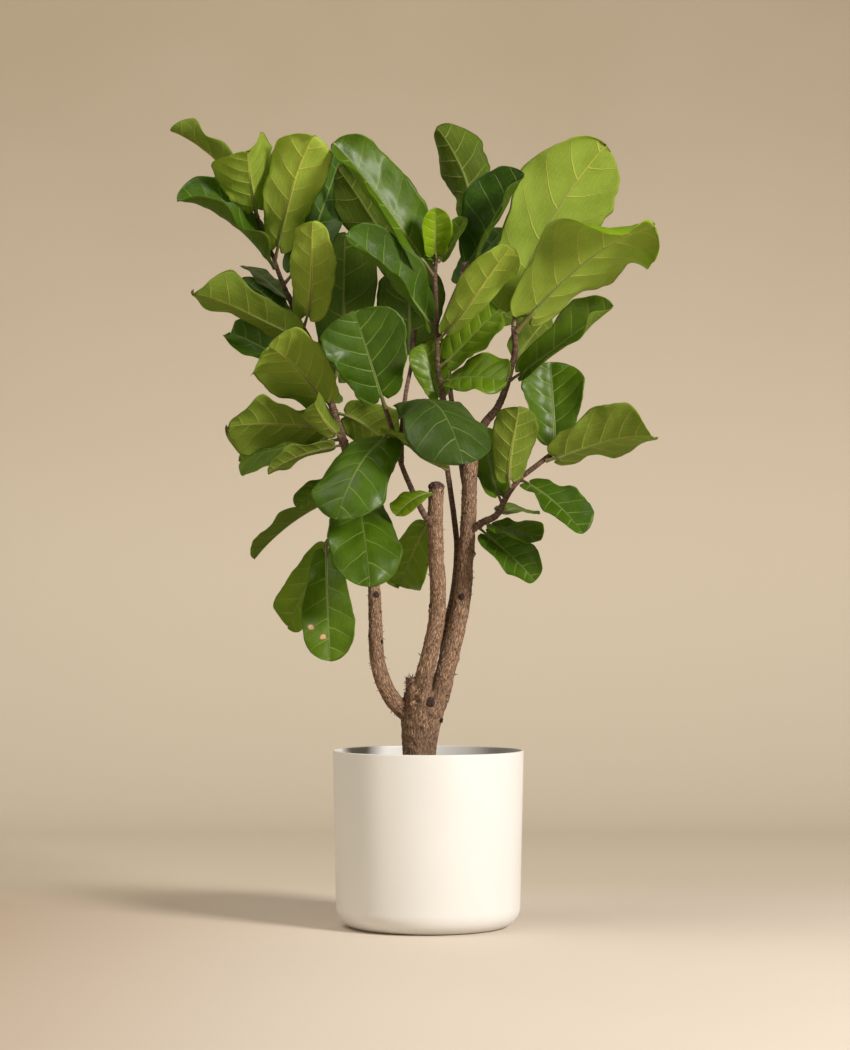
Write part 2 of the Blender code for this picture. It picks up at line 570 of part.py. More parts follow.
def main():
    for old in list(bpy.data.objects):
        bpy.data.objects.remove(old, do_unlink=True)
    collection = bpy.data.collections.new("potted_fiddle_leaf_fig")
    cutters = bpy.data.collections.new("cutters")
    bpy.context.scene.collection.children.link(collection)
    bpy.context.scene.collection.children.link(cutters)
    make_pot(collection)
    wood_mesh = make_wood(collection, cutters)
    make_soil(collection, cutters)
    make_leaves(collection, wood_mesh)
    make_bud(collection)


if __name__ == "__main__":
    main()
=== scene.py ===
from collections import namedtuple
from math import cos, pi, radians, sin

import bmesh
import bpy
from mathutils import Matrix, Quaternion, Vector, noise
from mathutils.kdtree import KDTree


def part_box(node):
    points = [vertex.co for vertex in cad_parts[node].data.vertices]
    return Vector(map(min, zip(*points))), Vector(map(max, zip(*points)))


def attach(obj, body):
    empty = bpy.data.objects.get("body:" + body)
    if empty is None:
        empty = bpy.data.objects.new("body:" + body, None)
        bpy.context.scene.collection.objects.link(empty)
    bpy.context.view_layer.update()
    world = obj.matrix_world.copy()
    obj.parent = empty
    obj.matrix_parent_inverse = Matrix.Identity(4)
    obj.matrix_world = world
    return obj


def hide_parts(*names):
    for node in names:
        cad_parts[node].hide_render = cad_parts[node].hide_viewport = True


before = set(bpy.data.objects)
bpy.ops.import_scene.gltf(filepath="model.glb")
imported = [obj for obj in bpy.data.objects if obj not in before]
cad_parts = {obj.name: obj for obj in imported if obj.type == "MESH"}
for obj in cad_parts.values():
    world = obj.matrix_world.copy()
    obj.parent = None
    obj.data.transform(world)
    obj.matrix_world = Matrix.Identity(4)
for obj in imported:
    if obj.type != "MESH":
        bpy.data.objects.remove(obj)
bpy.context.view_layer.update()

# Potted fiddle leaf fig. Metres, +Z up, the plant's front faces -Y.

# ---------------------------------------------------------------- the plant's plan, as its solids have it

# The petiole's share of a leaf's length and its gap to the twig, and the step of a smoothed route.
PETIOLE_SHARE = 0.13
PETIOLE_GAP = 0.0012
ROUTE_STEP = 0.024
# How far the solids may lean, in metres, and roll, in degrees, to make way for each other.
LEAN_STEP = 0.006
MOST_LEANS = 14
ROLL_STEP = 9.0
MOST_ROLLS = 3
ROLL_COST = 1.5
# A leaf's midrib leaves its twig outwards and then rises; both are shares of its length.
SPRING_OUT = 0.12
SPRING_UP = 0.16
SECOND_CONTROL = 0.70
# Where a solid leaf is widest, and how near a corner has to be to be the same corner.
WIDEST_STATION = 0.70
SAME_CORNER = 2e-4

# Each stem or twig: its route from its root to its end, and the radius at both ends.
Twig = namedtuple("Twig", "route radii")

TWIGS = {
    "trunk": Twig(
        [(-0.018, 0.004, 0.125), (-0.015, 0.002, 0.20), (-0.014, 0.000, 0.27),
         (-0.011, -0.001, 0.32), (-0.004, -0.002, 0.360)],
        (0.0285, 0.0345),
    ),
    "left_stem": Twig(
        [(-0.014, -0.002, 0.315), (-0.038, -0.010, 0.335), (-0.063, -0.020, 0.367), (-0.079, -0.025, 0.414),
         (-0.083, -0.020, 0.479), (-0.085, -0.010, 0.533), (-0.094, 0.010, 0.606), (-0.111, 0.020, 0.670),
         (-0.124, 0.020, 0.737)],
        (0.0150, 0.0086),
    ),
    "upper_left": Twig(
        [(-0.121, 0.020, 0.725), (-0.144, 0.030, 0.790), (-0.163, 0.040, 0.855), (-0.186, 0.040, 0.919),
         (-0.207, 0.040, 0.959), (-0.236, 0.040, 1.026), (-0.248, 0.040, 1.060), (-0.266, 0.040, 1.101),
         (-0.277, 0.040, 1.136), (-0.289, 0.040, 1.170)],
        (0.0080, 0.0032),
    ),
    "middle_stem": Twig(
        [(-0.006, -0.004, 0.335), (-0.009, -0.020, 0.370), (-0.003, -0.030, 0.404), (0.006, -0.031, 0.442),
         (0.014, -0.030, 0.486), (0.015, -0.030, 0.534), (0.012, -0.030, 0.586), (0.011, -0.030, 0.641),
         (0.013, -0.030, 0.688)],
        (0.0150, 0.0122),
    ),
    "right_stem": Twig(
        [(0.004, 0.000, 0.330), (0.018, 0.000, 0.362), (0.027, 0.003, 0.398), (0.044, 0.010, 0.464),
         (0.055, 0.015, 0.519), (0.059, 0.015, 0.574), (0.063, 0.016, 0.622), (0.065, 0.020, 0.670),
         (0.067, 0.020, 0.717), (0.074, 0.028, 0.758)],
        (0.0175, 0.0120),
    ),
    "upper_right": Twig(
        [(0.071, 0.025, 0.745), (0.089, 0.030, 0.790), (0.109, 0.020, 0.815), (0.122, 0.010, 0.844),
         (0.131, 0.010, 0.876), (0.138, 0.010, 0.908), (0.136, 0.010, 0.942)],
        (0.0085, 0.0045),
    ),
    "thin_stem": Twig(
        [(0.018, 0.012, 0.385), (0.024, 0.030, 0.430), (0.030, 0.042, 0.475), (0.038, 0.050, 0.511),
         (0.044, 0.056, 0.553), (0.046, 0.056, 0.600), (0.041, 0.050, 0.647), (0.035, 0.040, 0.690),
         (0.028, 0.030, 0.742), (0.028, 0.020, 0.789), (0.024, 0.010, 0.836), (0.016, 0.010, 0.876),
         (0.014, 0.010, 0.931), (0.012, 0.010, 0.987), (0.011, 0.010, 1.035), (0.015, 0.006, 1.062)],
        (0.0060, 0.0036),
    ),
    "crown_right": Twig(
        [(0.014, 0.010, 0.925), (0.035, 0.030, 0.982), (0.051, 0.040, 1.023), (0.062, 0.040, 1.072),
         (0.068, 0.030, 1.110)],
        (0.0040, 0.0032),
    ),
    "dark_twig": Twig(
        [(0.011, -0.030, 0.622), (-0.007, -0.046, 0.645), (-0.028, -0.050, 0.688), (-0.044, -0.043, 0.729),
         (-0.056, -0.050, 0.776), (-0.067, -0.060, 0.809)],
        (0.0055, 0.0036),
    ),
    "inner_twig": Twig(
        [(-0.042, -0.044, 0.722), (-0.041, -0.015, 0.787), (-0.035, 0.010, 0.841), (-0.026, 0.030, 0.891),
         (-0.021, 0.040, 0.943)],
        (0.0042, 0.0032),
    ),
    "left_low": Twig(
        [(-0.092, 0.006, 0.602), (-0.121, 0.012, 0.625), (-0.142, 0.000, 0.622), (-0.158, -0.010, 0.604)],
        (0.0050, 0.0034),
    ),
    "left_middle": Twig(
        [(-0.122, 0.020, 0.730), (-0.139, -0.010, 0.769), (-0.154, -0.030, 0.801)],
        (0.0058, 0.0040),
    ),
    "right_low": Twig(
        [(0.063, 0.016, 0.618), (0.087, 0.000, 0.634), (0.108, -0.010, 0.645), (0.126, -0.010, 0.678),
         (0.146, -0.010, 0.703), (0.170, -0.010, 0.722), (0.196, -0.010, 0.742)],
        (0.0064, 0.0040),
    ),
    "rear": Twig(
        [(0.065, 0.018, 0.660), (0.056, 0.060, 0.715), (0.046, 0.100, 0.788), (0.036, 0.120, 0.855),
         (0.033, 0.125, 0.922)],
        (0.0060, 0.0040),
    ),
    "dead_stub": Twig(
        [(-0.024, -0.016, 0.345), (-0.032, -0.018, 0.368), (-0.034, -0.018, 0.391)],
        (0.0070, 0.0022),
    ),
}

# Each leaf: the twig that it grows on, how far along, its tip, where its upper side faces, its full
# width, how far its blade bows near the base and near the tip as shares of its length (towards the
# upper side), how far its halves fold up in degrees, and how far its middle is bent aside.
Leaf = namedtuple("Leaf", "twig along tip faces width bow dip fold bend", defaults=[(0.0, 0.0, 0.0)])

LEAVES = {
    # The front of the crown, which the other leaves make way for.
    "front_blue_green": Leaf(
        "inner_twig", 0.40, (0.052, -0.220, 0.712), (0.2, -0.7, 0.7), 0.136, 0.10, 0.12, -6, (0.0, 0.0, 0.018)
    ),
    "front_round": Leaf("dark_twig", 1.00, (-0.114, -0.140, 0.952), (0.0, -0.9, 0.3), 0.130, 0.05, -0.02, 5),
    "front_left_glossy": Leaf("dark_twig", 0.80, (-0.138, -0.190, 0.630), (-0.2, -0.8, 0.5), 0.116, 0.10, 0.10, -5),
    "front_low_glossy": Leaf("left_stem", 0.84, (-0.088, -0.170, 0.529), (0.0, -0.7, 0.7), 0.114, 0.16, 0.12, -6),
    "front_hanging": Leaf("left_low", 1.00, (-0.151, -0.090, 0.416), (0.0, -0.95, 0.2), 0.082, 0.05, 0.03, 6),
    "top_right_large": Leaf(
        "upper_right", 0.98, (0.348, -0.120, 1.084), (-0.5, 0.8, 0.6), 0.172, 0.04, 0.02, 6, (-0.014, 0.0, 0.022)
    ),
    "top_right_tall": Leaf(
        "upper_right", 1.00, (0.282, -0.010, 1.232), (-0.3, 0.9, 0.3), 0.156, 0.05, -0.02, 6, (-0.030, 0.0, 0.0)
    ),
    "top_left_bright": Leaf(
        "upper_left", 0.75, (-0.178, -0.080, 1.232), (0.0, 0.9, 0.3), 0.100, 0.02, -0.03, 8, (-0.016, 0.0, 0.0)
    ),
    "top_long_arching": Leaf(
        "thin_stem", 0.95, (-0.149, -0.060, 1.225), (0.5, -0.8, 0.3), 0.116, 0.06, -0.08, 8, (0.012, 0.0, 0.012)
    ),
    "centre_glossy": Leaf(
        "thin_stem", 0.82, (-0.127, -0.110, 1.072), (0.5, -0.7, 0.4), 0.092, 0.06, -0.03, 10, (0.008, 0.0, 0.012)
    ),
    "centre_bright": Leaf("thin_stem", 0.80, (0.126, -0.130, 1.052), (-0.3, 0.9, 0.4), 0.074, 0.03, -0.04, 6),
    # The upper left.
    "tip_left_curled": Leaf(
        "upper_left", 0.97, (-0.418, 0.090, 1.275), (0.5, 0.3, 0.8), 0.070, 0.02, -0.10, 12, (0.018, 0.0, 0.026)
    ),
    "tip_left_front": Leaf("upper_left", 0.90, (-0.280, -0.130, 1.205), (0.0, 0.4, 0.9), 0.104, 0.06, 0.02, 12),
    "left_dark_large": Leaf(
        "upper_left", 0.72, (-0.392, -0.060, 1.136), (0.3, -0.7, 0.6), 0.126, 0.06, 0.02, 8, (0.006, 0.0, 0.020)
    ),
    "left_dark_rear": Leaf("upper_left", 0.66, (-0.142, 0.170, 1.250), (0.3, -0.8, 0.3), 0.084, 0.04, 0.00, 6),
    "left_yellow": Leaf("upper_left", 0.50, (-0.180, -0.060, 1.102), (0.2, 0.9, 0.3), 0.080, 0.04, -0.03, 6),
    "left_olive": Leaf("upper_left", 0.46, (-0.367, -0.040, 0.992), (0.2, 0.6, 0.8), 0.092, 0.06, 0.02, 8),
    "left_grey_small": Leaf("upper_left", 0.54, (-0.305, 0.120, 1.035), (0.3, -0.6, 0.7), 0.060, 0.04, 0.02, 5),
    "left_grey_upper": Leaf("upper_left", 0.60, (-0.300, 0.200, 1.065), (0.5, -0.7, 0.5), 0.054, 0.03, 0.02, 5),
    "left_small_curled": Leaf("upper_left", 0.34, (-0.323, 0.120, 0.948), (-0.4, -0.7, 0.4), 0.060, 0.05, 0.06, 12),
    "left_inner_tall": Leaf("upper_left", 0.28, (-0.136, 0.160, 1.118), (0.1, 0.95, 0.2), 0.110, 0.03, 0.00, 6),
    # The centre of the crown.
    "centre_olive": Leaf("thin_stem", 0.90, (-0.147, 0.130, 1.213), (0.3, 0.9, 0.3), 0.108, 0.04, 0.00, 8),
    "crown_olive": Leaf(
        "crown_right", 1.00, (0.014, 0.050, 1.272), (0.3, 0.9, 0.1), 0.090, 0.04, -0.04, 8, (0.020, 0.0, 0.0)
    ),
    "crown_dark": Leaf("crown_right", 0.64, (0.149, -0.040, 1.182), (-0.5, -0.7, 0.4), 0.090, 0.04, 0.02, 10),
    "crown_dark_rear": Leaf("crown_right", 0.50, (0.130, 0.180, 1.130), (-0.3, -0.8, 0.4), 0.080, 0.04, 0.02, 6),
    "young_bright": Leaf("thin_stem", 0.99, (0.012, -0.040, 1.126), (0.1, -0.9, 0.2), 0.050, 0.04, -0.04, 16),
    "young_dark": Leaf("thin_stem", 0.98, (0.060, 0.000, 1.118), (-0.4, -0.8, 0.3), 0.034, 0.04, -0.02, 16),
    "centre_right_green": Leaf("thin_stem", 0.74, (0.112, -0.060, 0.968), (-0.4, -0.9, 0.3), 0.092, 0.05, 0.02, 6),
    "centre_right_low": Leaf("thin_stem", 0.70, (0.122, -0.080, 0.848), (-0.1, -0.8, 0.6), 0.088, 0.08, 0.06, 4),
    "centre_inner_green": Leaf("thin_stem", 0.66, (-0.008, -0.020, 0.920), (0.1, -0.9, 0.3), 0.066, 0.04, 0.02, 6),
    "centre_dark_olive": Leaf("inner_twig", 0.80, (-0.030, 0.170, 1.068), (0.0, 0.9, 0.3), 0.112, 0.03, 0.02, 6),
    # The right.
    "right_dark_curled": Leaf(
        "upper_right", 0.62, (0.287, -0.080, 0.966), (-0.4, -0.7, 0.5), 0.076, 0.03, -0.06, 12, (0.0, 0.0, 0.010)
    ),
    "right_olive_rear": Leaf("upper_right", 0.76, (0.205, 0.200, 0.985), (0.0, 0.9, 0.3), 0.092, 0.05, 0.03, 6),
    "right_upright": Leaf("right_low", 1.00, (0.194, -0.020, 0.888), (0.0, -0.95, 0.2), 0.100, 0.04, -0.02, 8),
    "right_far": Leaf("right_low", 0.93, (0.346, -0.080, 0.764), (-0.2, 0.6, 0.8), 0.122, 0.10, 0.04, 6),
    "right_lower": Leaf("right_low", 0.66, (0.238, -0.100, 0.612), (0.3, -0.8, 0.5), 0.074, 0.08, 0.04, 8),
    "right_inner_olive": Leaf("right_low", 0.56, (0.142, -0.040, 0.813), (0.1, 0.95, 0.2), 0.074, 0.03, 0.02, 6),
    "right_inner_green": Leaf("right_low", 0.42, (0.086, 0.100, 0.790), (0.2, -0.9, 0.2), 0.076, 0.03, 0.02, 6),
    "right_droop_upper": Leaf("right_low", 0.20, (0.176, -0.040, 0.604), (0.0, -0.5, 0.9), 0.066, 0.10, 0.06, 6),
    "right_droop_lower": Leaf("right_low", 0.12, (0.167, -0.040, 0.540), (0.2, -0.9, 0.2), 0.062, 0.10, 0.04, 8),
    "right_small": Leaf("right_low", 0.30, (0.165, 0.140, 0.655), (0.0, -0.7, 0.7), 0.056, 0.06, 0.04, 6),
    # The left and the middle.
    "left_broad_bright": Leaf(
        "left_middle", 1.00, (-0.246, -0.100, 0.902), (0.1, 0.8, 0.6), 0.130, 0.04, 0.02, 6, (0.0, 0.0, 0.014)
    ),
    "left_broad_olive": Leaf("left_middle", 0.80, (-0.312, -0.060, 0.780), (0.2, 0.7, 0.7), 0.116, 0.06, 0.04, 6),
    "left_behind_broad": Leaf("upper_left", 0.10, (-0.308, 0.140, 0.738), (0.0, -0.8, 0.5), 0.086, 0.06, 0.04, 6),
    "left_olive_low": Leaf("left_middle", 0.40, (-0.251, -0.030, 0.710), (0.0, 0.4, 0.9), 0.066, 0.08, 0.04, 8),
    "left_side_on": Leaf("left_middle", 0.60, (-0.174, -0.135, 0.812), (-0.7, -0.1, 0.6), 0.046, 0.10, 0.02, 14),
    "left_inner_olive": Leaf("upper_left", 0.18, (-0.052, -0.020, 0.752), (0.1, 0.9, 0.3), 0.096, 0.03, 0.02, 6),
    "left_small_hanging": Leaf("left_stem", 0.94, (-0.207, -0.010, 0.656), (-0.5, -0.7, 0.5), 0.052, 0.06, 0.04, 8),
    "left_edge_on": Leaf("left_stem", 0.88, (-0.279, 0.060, 0.577), (-0.5, 0.1, 0.85), 0.070, 0.06, 0.04, 8),
    "left_hanging_light": Leaf("left_low", 0.94, (-0.224, 0.060, 0.468), (-0.2, -0.9, 0.2), 0.070, 0.06, 0.02, 8),
    "behind_low_glossy": Leaf("middle_stem", 0.86, (-0.046, 0.080, 0.533), (0.1, -0.9, 0.3), 0.074, 0.05, 0.04, 6),
    "middle_olive": Leaf("thin_stem", 0.50, (-0.064, -0.120, 0.770), (0.2, 0.8, 0.5), 0.060, 0.04, -0.02, 8),
    "stem_top_small": Leaf("middle_stem", 0.97, (-0.050, -0.100, 0.640), (0.0, -0.6, 0.8), 0.042, 0.08, 0.06, 10),
    # The rear of the crown.
    "rear_left": Leaf("upper_left", 0.22, (-0.250, 0.240, 0.900), (0.0, 0.3, 1.0), 0.110, 0.08, 0.05, 6),
    "rear_centre": Leaf("rear", 0.98, (-0.040, 0.280, 1.060), (0.2, 0.6, 0.8), 0.120, 0.06, 0.04, 6),
    "rear_right": Leaf("rear", 0.94, (0.180, 0.250, 1.030), (-0.2, 0.6, 0.8), 0.118, 0.06, 0.04, 6),
}

# ---------------------------------------------------------------- looks of single leaves

# How yellow and light a leaf is, from 0 to 1, and below 0 for a blue-green one: partly its age, from an old dark
# leaf to a young one, and partly painted light and shade, low for leaves in the crown's shade and high for lit ones;
# how far its left and right halves curl up towards its upper side, as shares of its width; how wavy its edge is in
# metres; how much it narrows to its tip; how far its tip winds up in radians; how irregular its outline is.
Look = namedtuple(
    "Look", "tone left_curl right_curl ruffle taper tip_roll unevenness",
    defaults=[0.35, 0.0, 0.0, 0.0045, 0.0, 0.0, 1.0],
)

# Low tones on leaves deep in the crown are painted shade and high tones on lit leaves are painted light, besides the
# leaves' age.
LOOKS = {
    "front_blue_green": Look(-0.35, -0.14, -0.16, 0.005, 0.0, -0.3, 1.2),
    "front_round": Look(0.1, 0.14, 0.18, 0.004, -0.15, -0.2, 1.5),
    "front_left_glossy": Look(0.17, -0.14, -0.1, 0.0055, 0.1),
    "front_low_glossy": Look(0.2, -0.16, 0.16, 0.006, 0.1),
    "front_hanging": Look(0.3, 0.1, 0.14, 0.005),
    "top_right_large": Look(0.86, 0.1, 0.12, 0.006, 0.0, -2.3, 1.5),
    "top_right_tall": Look(0.8, 0.05, 0.1, 0.005, 0.0, -0.7, 1.8),
    "top_left_bright": Look(1.0, 0.14, 0.1, 0.008, -0.1, -0.5, 2.2),
    "top_long_arching": Look(0.28, 0.55, 0.15, 0.006, 0.75, 0.9, 1.4),
    "centre_glossy": Look(0.12, 0.55, 0.3, 0.004, 0.6, 0.8, 1.3),
    "centre_bright": Look(0.9, 0.05, 0.1, 0.005, -0.3, -1.2, 1.3),
    "tip_left_curled": Look(0.55, 0.2, 0.2, 0.006, 0.95, 2.0, 1.3),
    "tip_left_front": Look(0.8, 0.25, 0.2, 0.006, 0.2, 0.8, 1.5),
    "left_dark_large": Look(0.1, 0.3, 0.35, 0.0075, 0.95, 0.9, 1.7),
    "left_dark_rear": Look(0.05, 0.3, 0.3, 0.006, 0.3),
    "left_yellow": Look(1.0, 0.18, 0.12, 0.008, 0.5, -0.7, 2.0),
    "left_olive": Look(0.5, 0.2, 0.16, 0.0085, 0.2, 0.8, 1.3),
    "left_grey_small": Look(-0.2),
    "left_grey_upper": Look(-0.2),
    "left_small_curled": Look(0.1, 0.4, 0.3, 0.006, 0.0, 1.8, 1.4),
    "left_inner_tall": Look(0.1),
    "centre_olive": Look(0.25, 0.1, 0.1, 0.005, 0.4, -0.8, 1.5),
    "crown_olive": Look(0.22, 0.2, 0.55, 0.006, 0.3, 1.7, 1.8),
    "crown_dark": Look(0.0, 0.55, 0.5, 0.005, 0.35, 1.0, 1.3),
    "crown_dark_rear": Look(0.0),
    "young_bright": Look(1.0, 0.35, 0.35, 0.003, 0.3),
    "young_dark": Look(0.5, 0.35, 0.35, 0.003, 0.3),
    "centre_right_green": Look(0.6, 0.2, 0.24, 0.006, 0.1),
    "centre_right_low": Look(0.5, 0.16, 0.1, 0.006),
    "centre_inner_green": Look(0.5),
    "centre_dark_olive": Look(0.05),
    "right_dark_curled": Look(0.35, 0.2, 0.3, 0.005, 0.2, 2.0, 1.4),
    "right_upright": Look(0.22, 0.3, 0.22, 0.0055),
    "right_far": Look(0.58, 0.1, 0.2, 0.005, 0.0, 0.8, 1.3),
    "right_lower": Look(0.14, 0.2, 0.16, 0.0065, 0.1, 0.6, 1.2),
    "right_inner_olive": Look(0.55, 0.16, 0.2, 0.006, 0.1),
    "right_droop_upper": Look(0.3),
    "right_droop_lower": Look(0.14, 0.25, 0.2, 0.0065, 0.2, 1.4, 1.3),
    "left_broad_bright": Look(0.76, -0.12, -0.16, 0.007, 0.0, -0.4, 1.3),
    "left_broad_olive": Look(0.48, -0.14, -0.1, 0.007, 0.0, -0.5, 1.3),
    "left_olive_low": Look(0.45),
    "left_side_on": Look(0.5, 0.3, 0.3, 0.004, 0.2),
    "left_inner_olive": Look(0.5),
    "left_edge_on": Look(0.35, 0.2, 0.2, 0.005, 0.2, 0.8, 1.2),
    "left_hanging_light": Look(0.6, 0.2, 0.14, 0.006),
    "behind_low_glossy": Look(0.6, 0.14, 0.18, 0.007),
    "middle_olive": Look(0.5),
    "stem_top_small": Look(0.8),
}
USUAL_LOOK = Look()


def smooth_route(points, step):
    """Points about a step apart on a smooth curve through the given points, with their share of its length."""
    ends = [points[0] * 2 - points[1], *points, points[-1] * 2 - points[-2]]
    fine = []
    for before, start, end, after in zip(ends, ends[1:], ends[2:], ends[3:]):
        pieces = max(1, round((end - start).length / step))
        for piece in range(pieces):
            t = piece / pieces
            fine.append(
                0.5 * (2 * start + (end - before) * t + (2 * before - 5 * start + 4 * end - after) * t**2
                       + (3 * start - before - 3 * end + after) * t**3)
            )
    fine.append(points[-1])
    lengths = [0.0]
    for start, end in zip(fine, fine[1:]):
        lengths.append(lengths[-1] + (end - start).length)
    return [(point, length / lengths[-1]) for point, length in zip(fine, lengths)]


def twig_radius(twig, along):
    """A twig flares at its root."""
    return twig.radii[1] + (twig.radii[0] - twig.radii[1]) * (1 - along) ** 2


def twig_at(name, along):
    """The point on a twig's axis, its direction there and its radius."""
    twig = TWIGS[name]
    route = smooth_route([Vector(point) for point in twig.route], ROUTE_STEP)
    radius = twig_radius(twig, along)
    for (start, low), (end, high) in zip(route, route[1:]):
        if high >= along:
            share = (along - low) / (high - low)
            return start.lerp(end, share), (end - start).normalized(), radius
    return route[-1][0], (route[-1][0] - route[-2][0]).normalized(), radius


def leaf_spine(leaf, pose):
    """The four control points of a leaf's midrib and the direction across its blade."""
    lean, roll = pose
    axis, direction, radius = twig_at(leaf.twig, leaf.along)
    tip = Vector(leaf.tip) + Vector((0.0, lean, 0.0))
    chord = tip - axis
    outward = chord - direction * chord.dot(direction)
    if leaf.along == 1.0:
        outward = outward + direction * chord.length
        base = axis + outward.normalized() * PETIOLE_GAP + direction * (radius * 0.5 + PETIOLE_GAP)
    else:
        base = axis + outward.normalized() * (radius + PETIOLE_GAP)
    outward.normalize()
    chord = tip - base
    length = chord.length
    along = chord.normalized()
    upper = Vector(leaf.faces)
    upper = (upper - along * upper.dot(along)).normalized()
    upper.rotate(Quaternion(along, radians(roll)))
    across = along.cross(upper).normalized()
    bend = Vector(leaf.bend)
    return (
        base,
        base + outward * SPRING_OUT * length + chord * SPRING_UP + upper * leaf.bow * length + bend,
        base + chord * SECOND_CONTROL + upper * (leaf.bow + leaf.dip) * length + bend,
        tip,
    ), across


def bezier(controls, t):
    a, b, c, d = controls
    place = a * (1 - t) ** 3 + b * 3 * t * (1 - t) ** 2 + c * 3 * t**2 * (1 - t) + d * t**3
    heading = (b - a) * (1 - t) ** 2 + (c - b) * 2 * t * (1 - t) + (d - c) * t**2
    return place, heading.normalized()


def poses():
    """Leans forwards or back, in metres at the tip, with rolls in degrees, from the least moved to the most."""
    leans = [LEAN_STEP * step for step in range(-MOST_LEANS, MOST_LEANS + 1)]
    rolls = [ROLL_STEP * step for step in range(-MOST_ROLLS, MOST_ROLLS + 1)]
    tried = [(lean, roll) for lean in leans for roll in rolls]
    return sorted(tried, key=lambda pose: (abs(pose[0]) / LEAN_STEP + ROLL_COST * abs(pose[1]) / ROLL_STEP, pose))


def settled_spine(name, leaf):
    """The spine that the leaf's solid has: the pose whose widest station lies on the solid's own corners."""
    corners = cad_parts["leaf_" + name].data.vertices
    tree = KDTree(len(corners))
    for corner in corners:
        tree.insert(corner.co, corner.index)
    tree.balance()
    best = None
    for pose in poses():
        controls, across = leaf_spine(leaf, pose)
        place, heading = bezier(controls, PETIOLE_SHARE + (1 - PETIOLE_SHARE) * WIDEST_STATION)
        up = across.cross(heading).normalized()
        side = heading.cross(up).normalized()
        half = 0.5 * leaf.width
        lift = up * half * sin(radians(leaf.fold))
        miss = max(tree.find(place + side * half + lift)[2], tree.find(place - side * half + lift)[2])
        if best is None or miss < best[0]:
            best = (miss, controls, across)
        if miss < SAME_CORNER:
            break
    return best[1:]


# ---------------------------------------------------------------- trees of nodes

class Flow:
    """What comes out of a node, which can be added, multiplied and so on to make more nodes."""

    def __init__(self, bench, node, output=0):
        self.bench, self.node = bench, node
        self.socket = node.outputs[output]

    def out(self, output):
        return Flow(self.bench, self.node, output)

    def __add__(self, other):
        return self.bench.sum("ADD", self, other)

    def __radd__(self, other):
        return self.bench.sum("ADD", other, self)

    def __sub__(self, other):
        return self.bench.sum("SUBTRACT", self, other)

    def __rsub__(self, other):
        return self.bench.sum("SUBTRACT", other, self)

    def __mul__(self, other):
        return self.bench.sum("MULTIPLY", self, other)

    def __truediv__(self, other):
        return self.bench.sum("DIVIDE", self, other)

    def __pow__(self, power):
        return self.bench.sum("POWER", self, power)

    def __abs__(self):
        return self.bench.sum("ABSOLUTE", self)


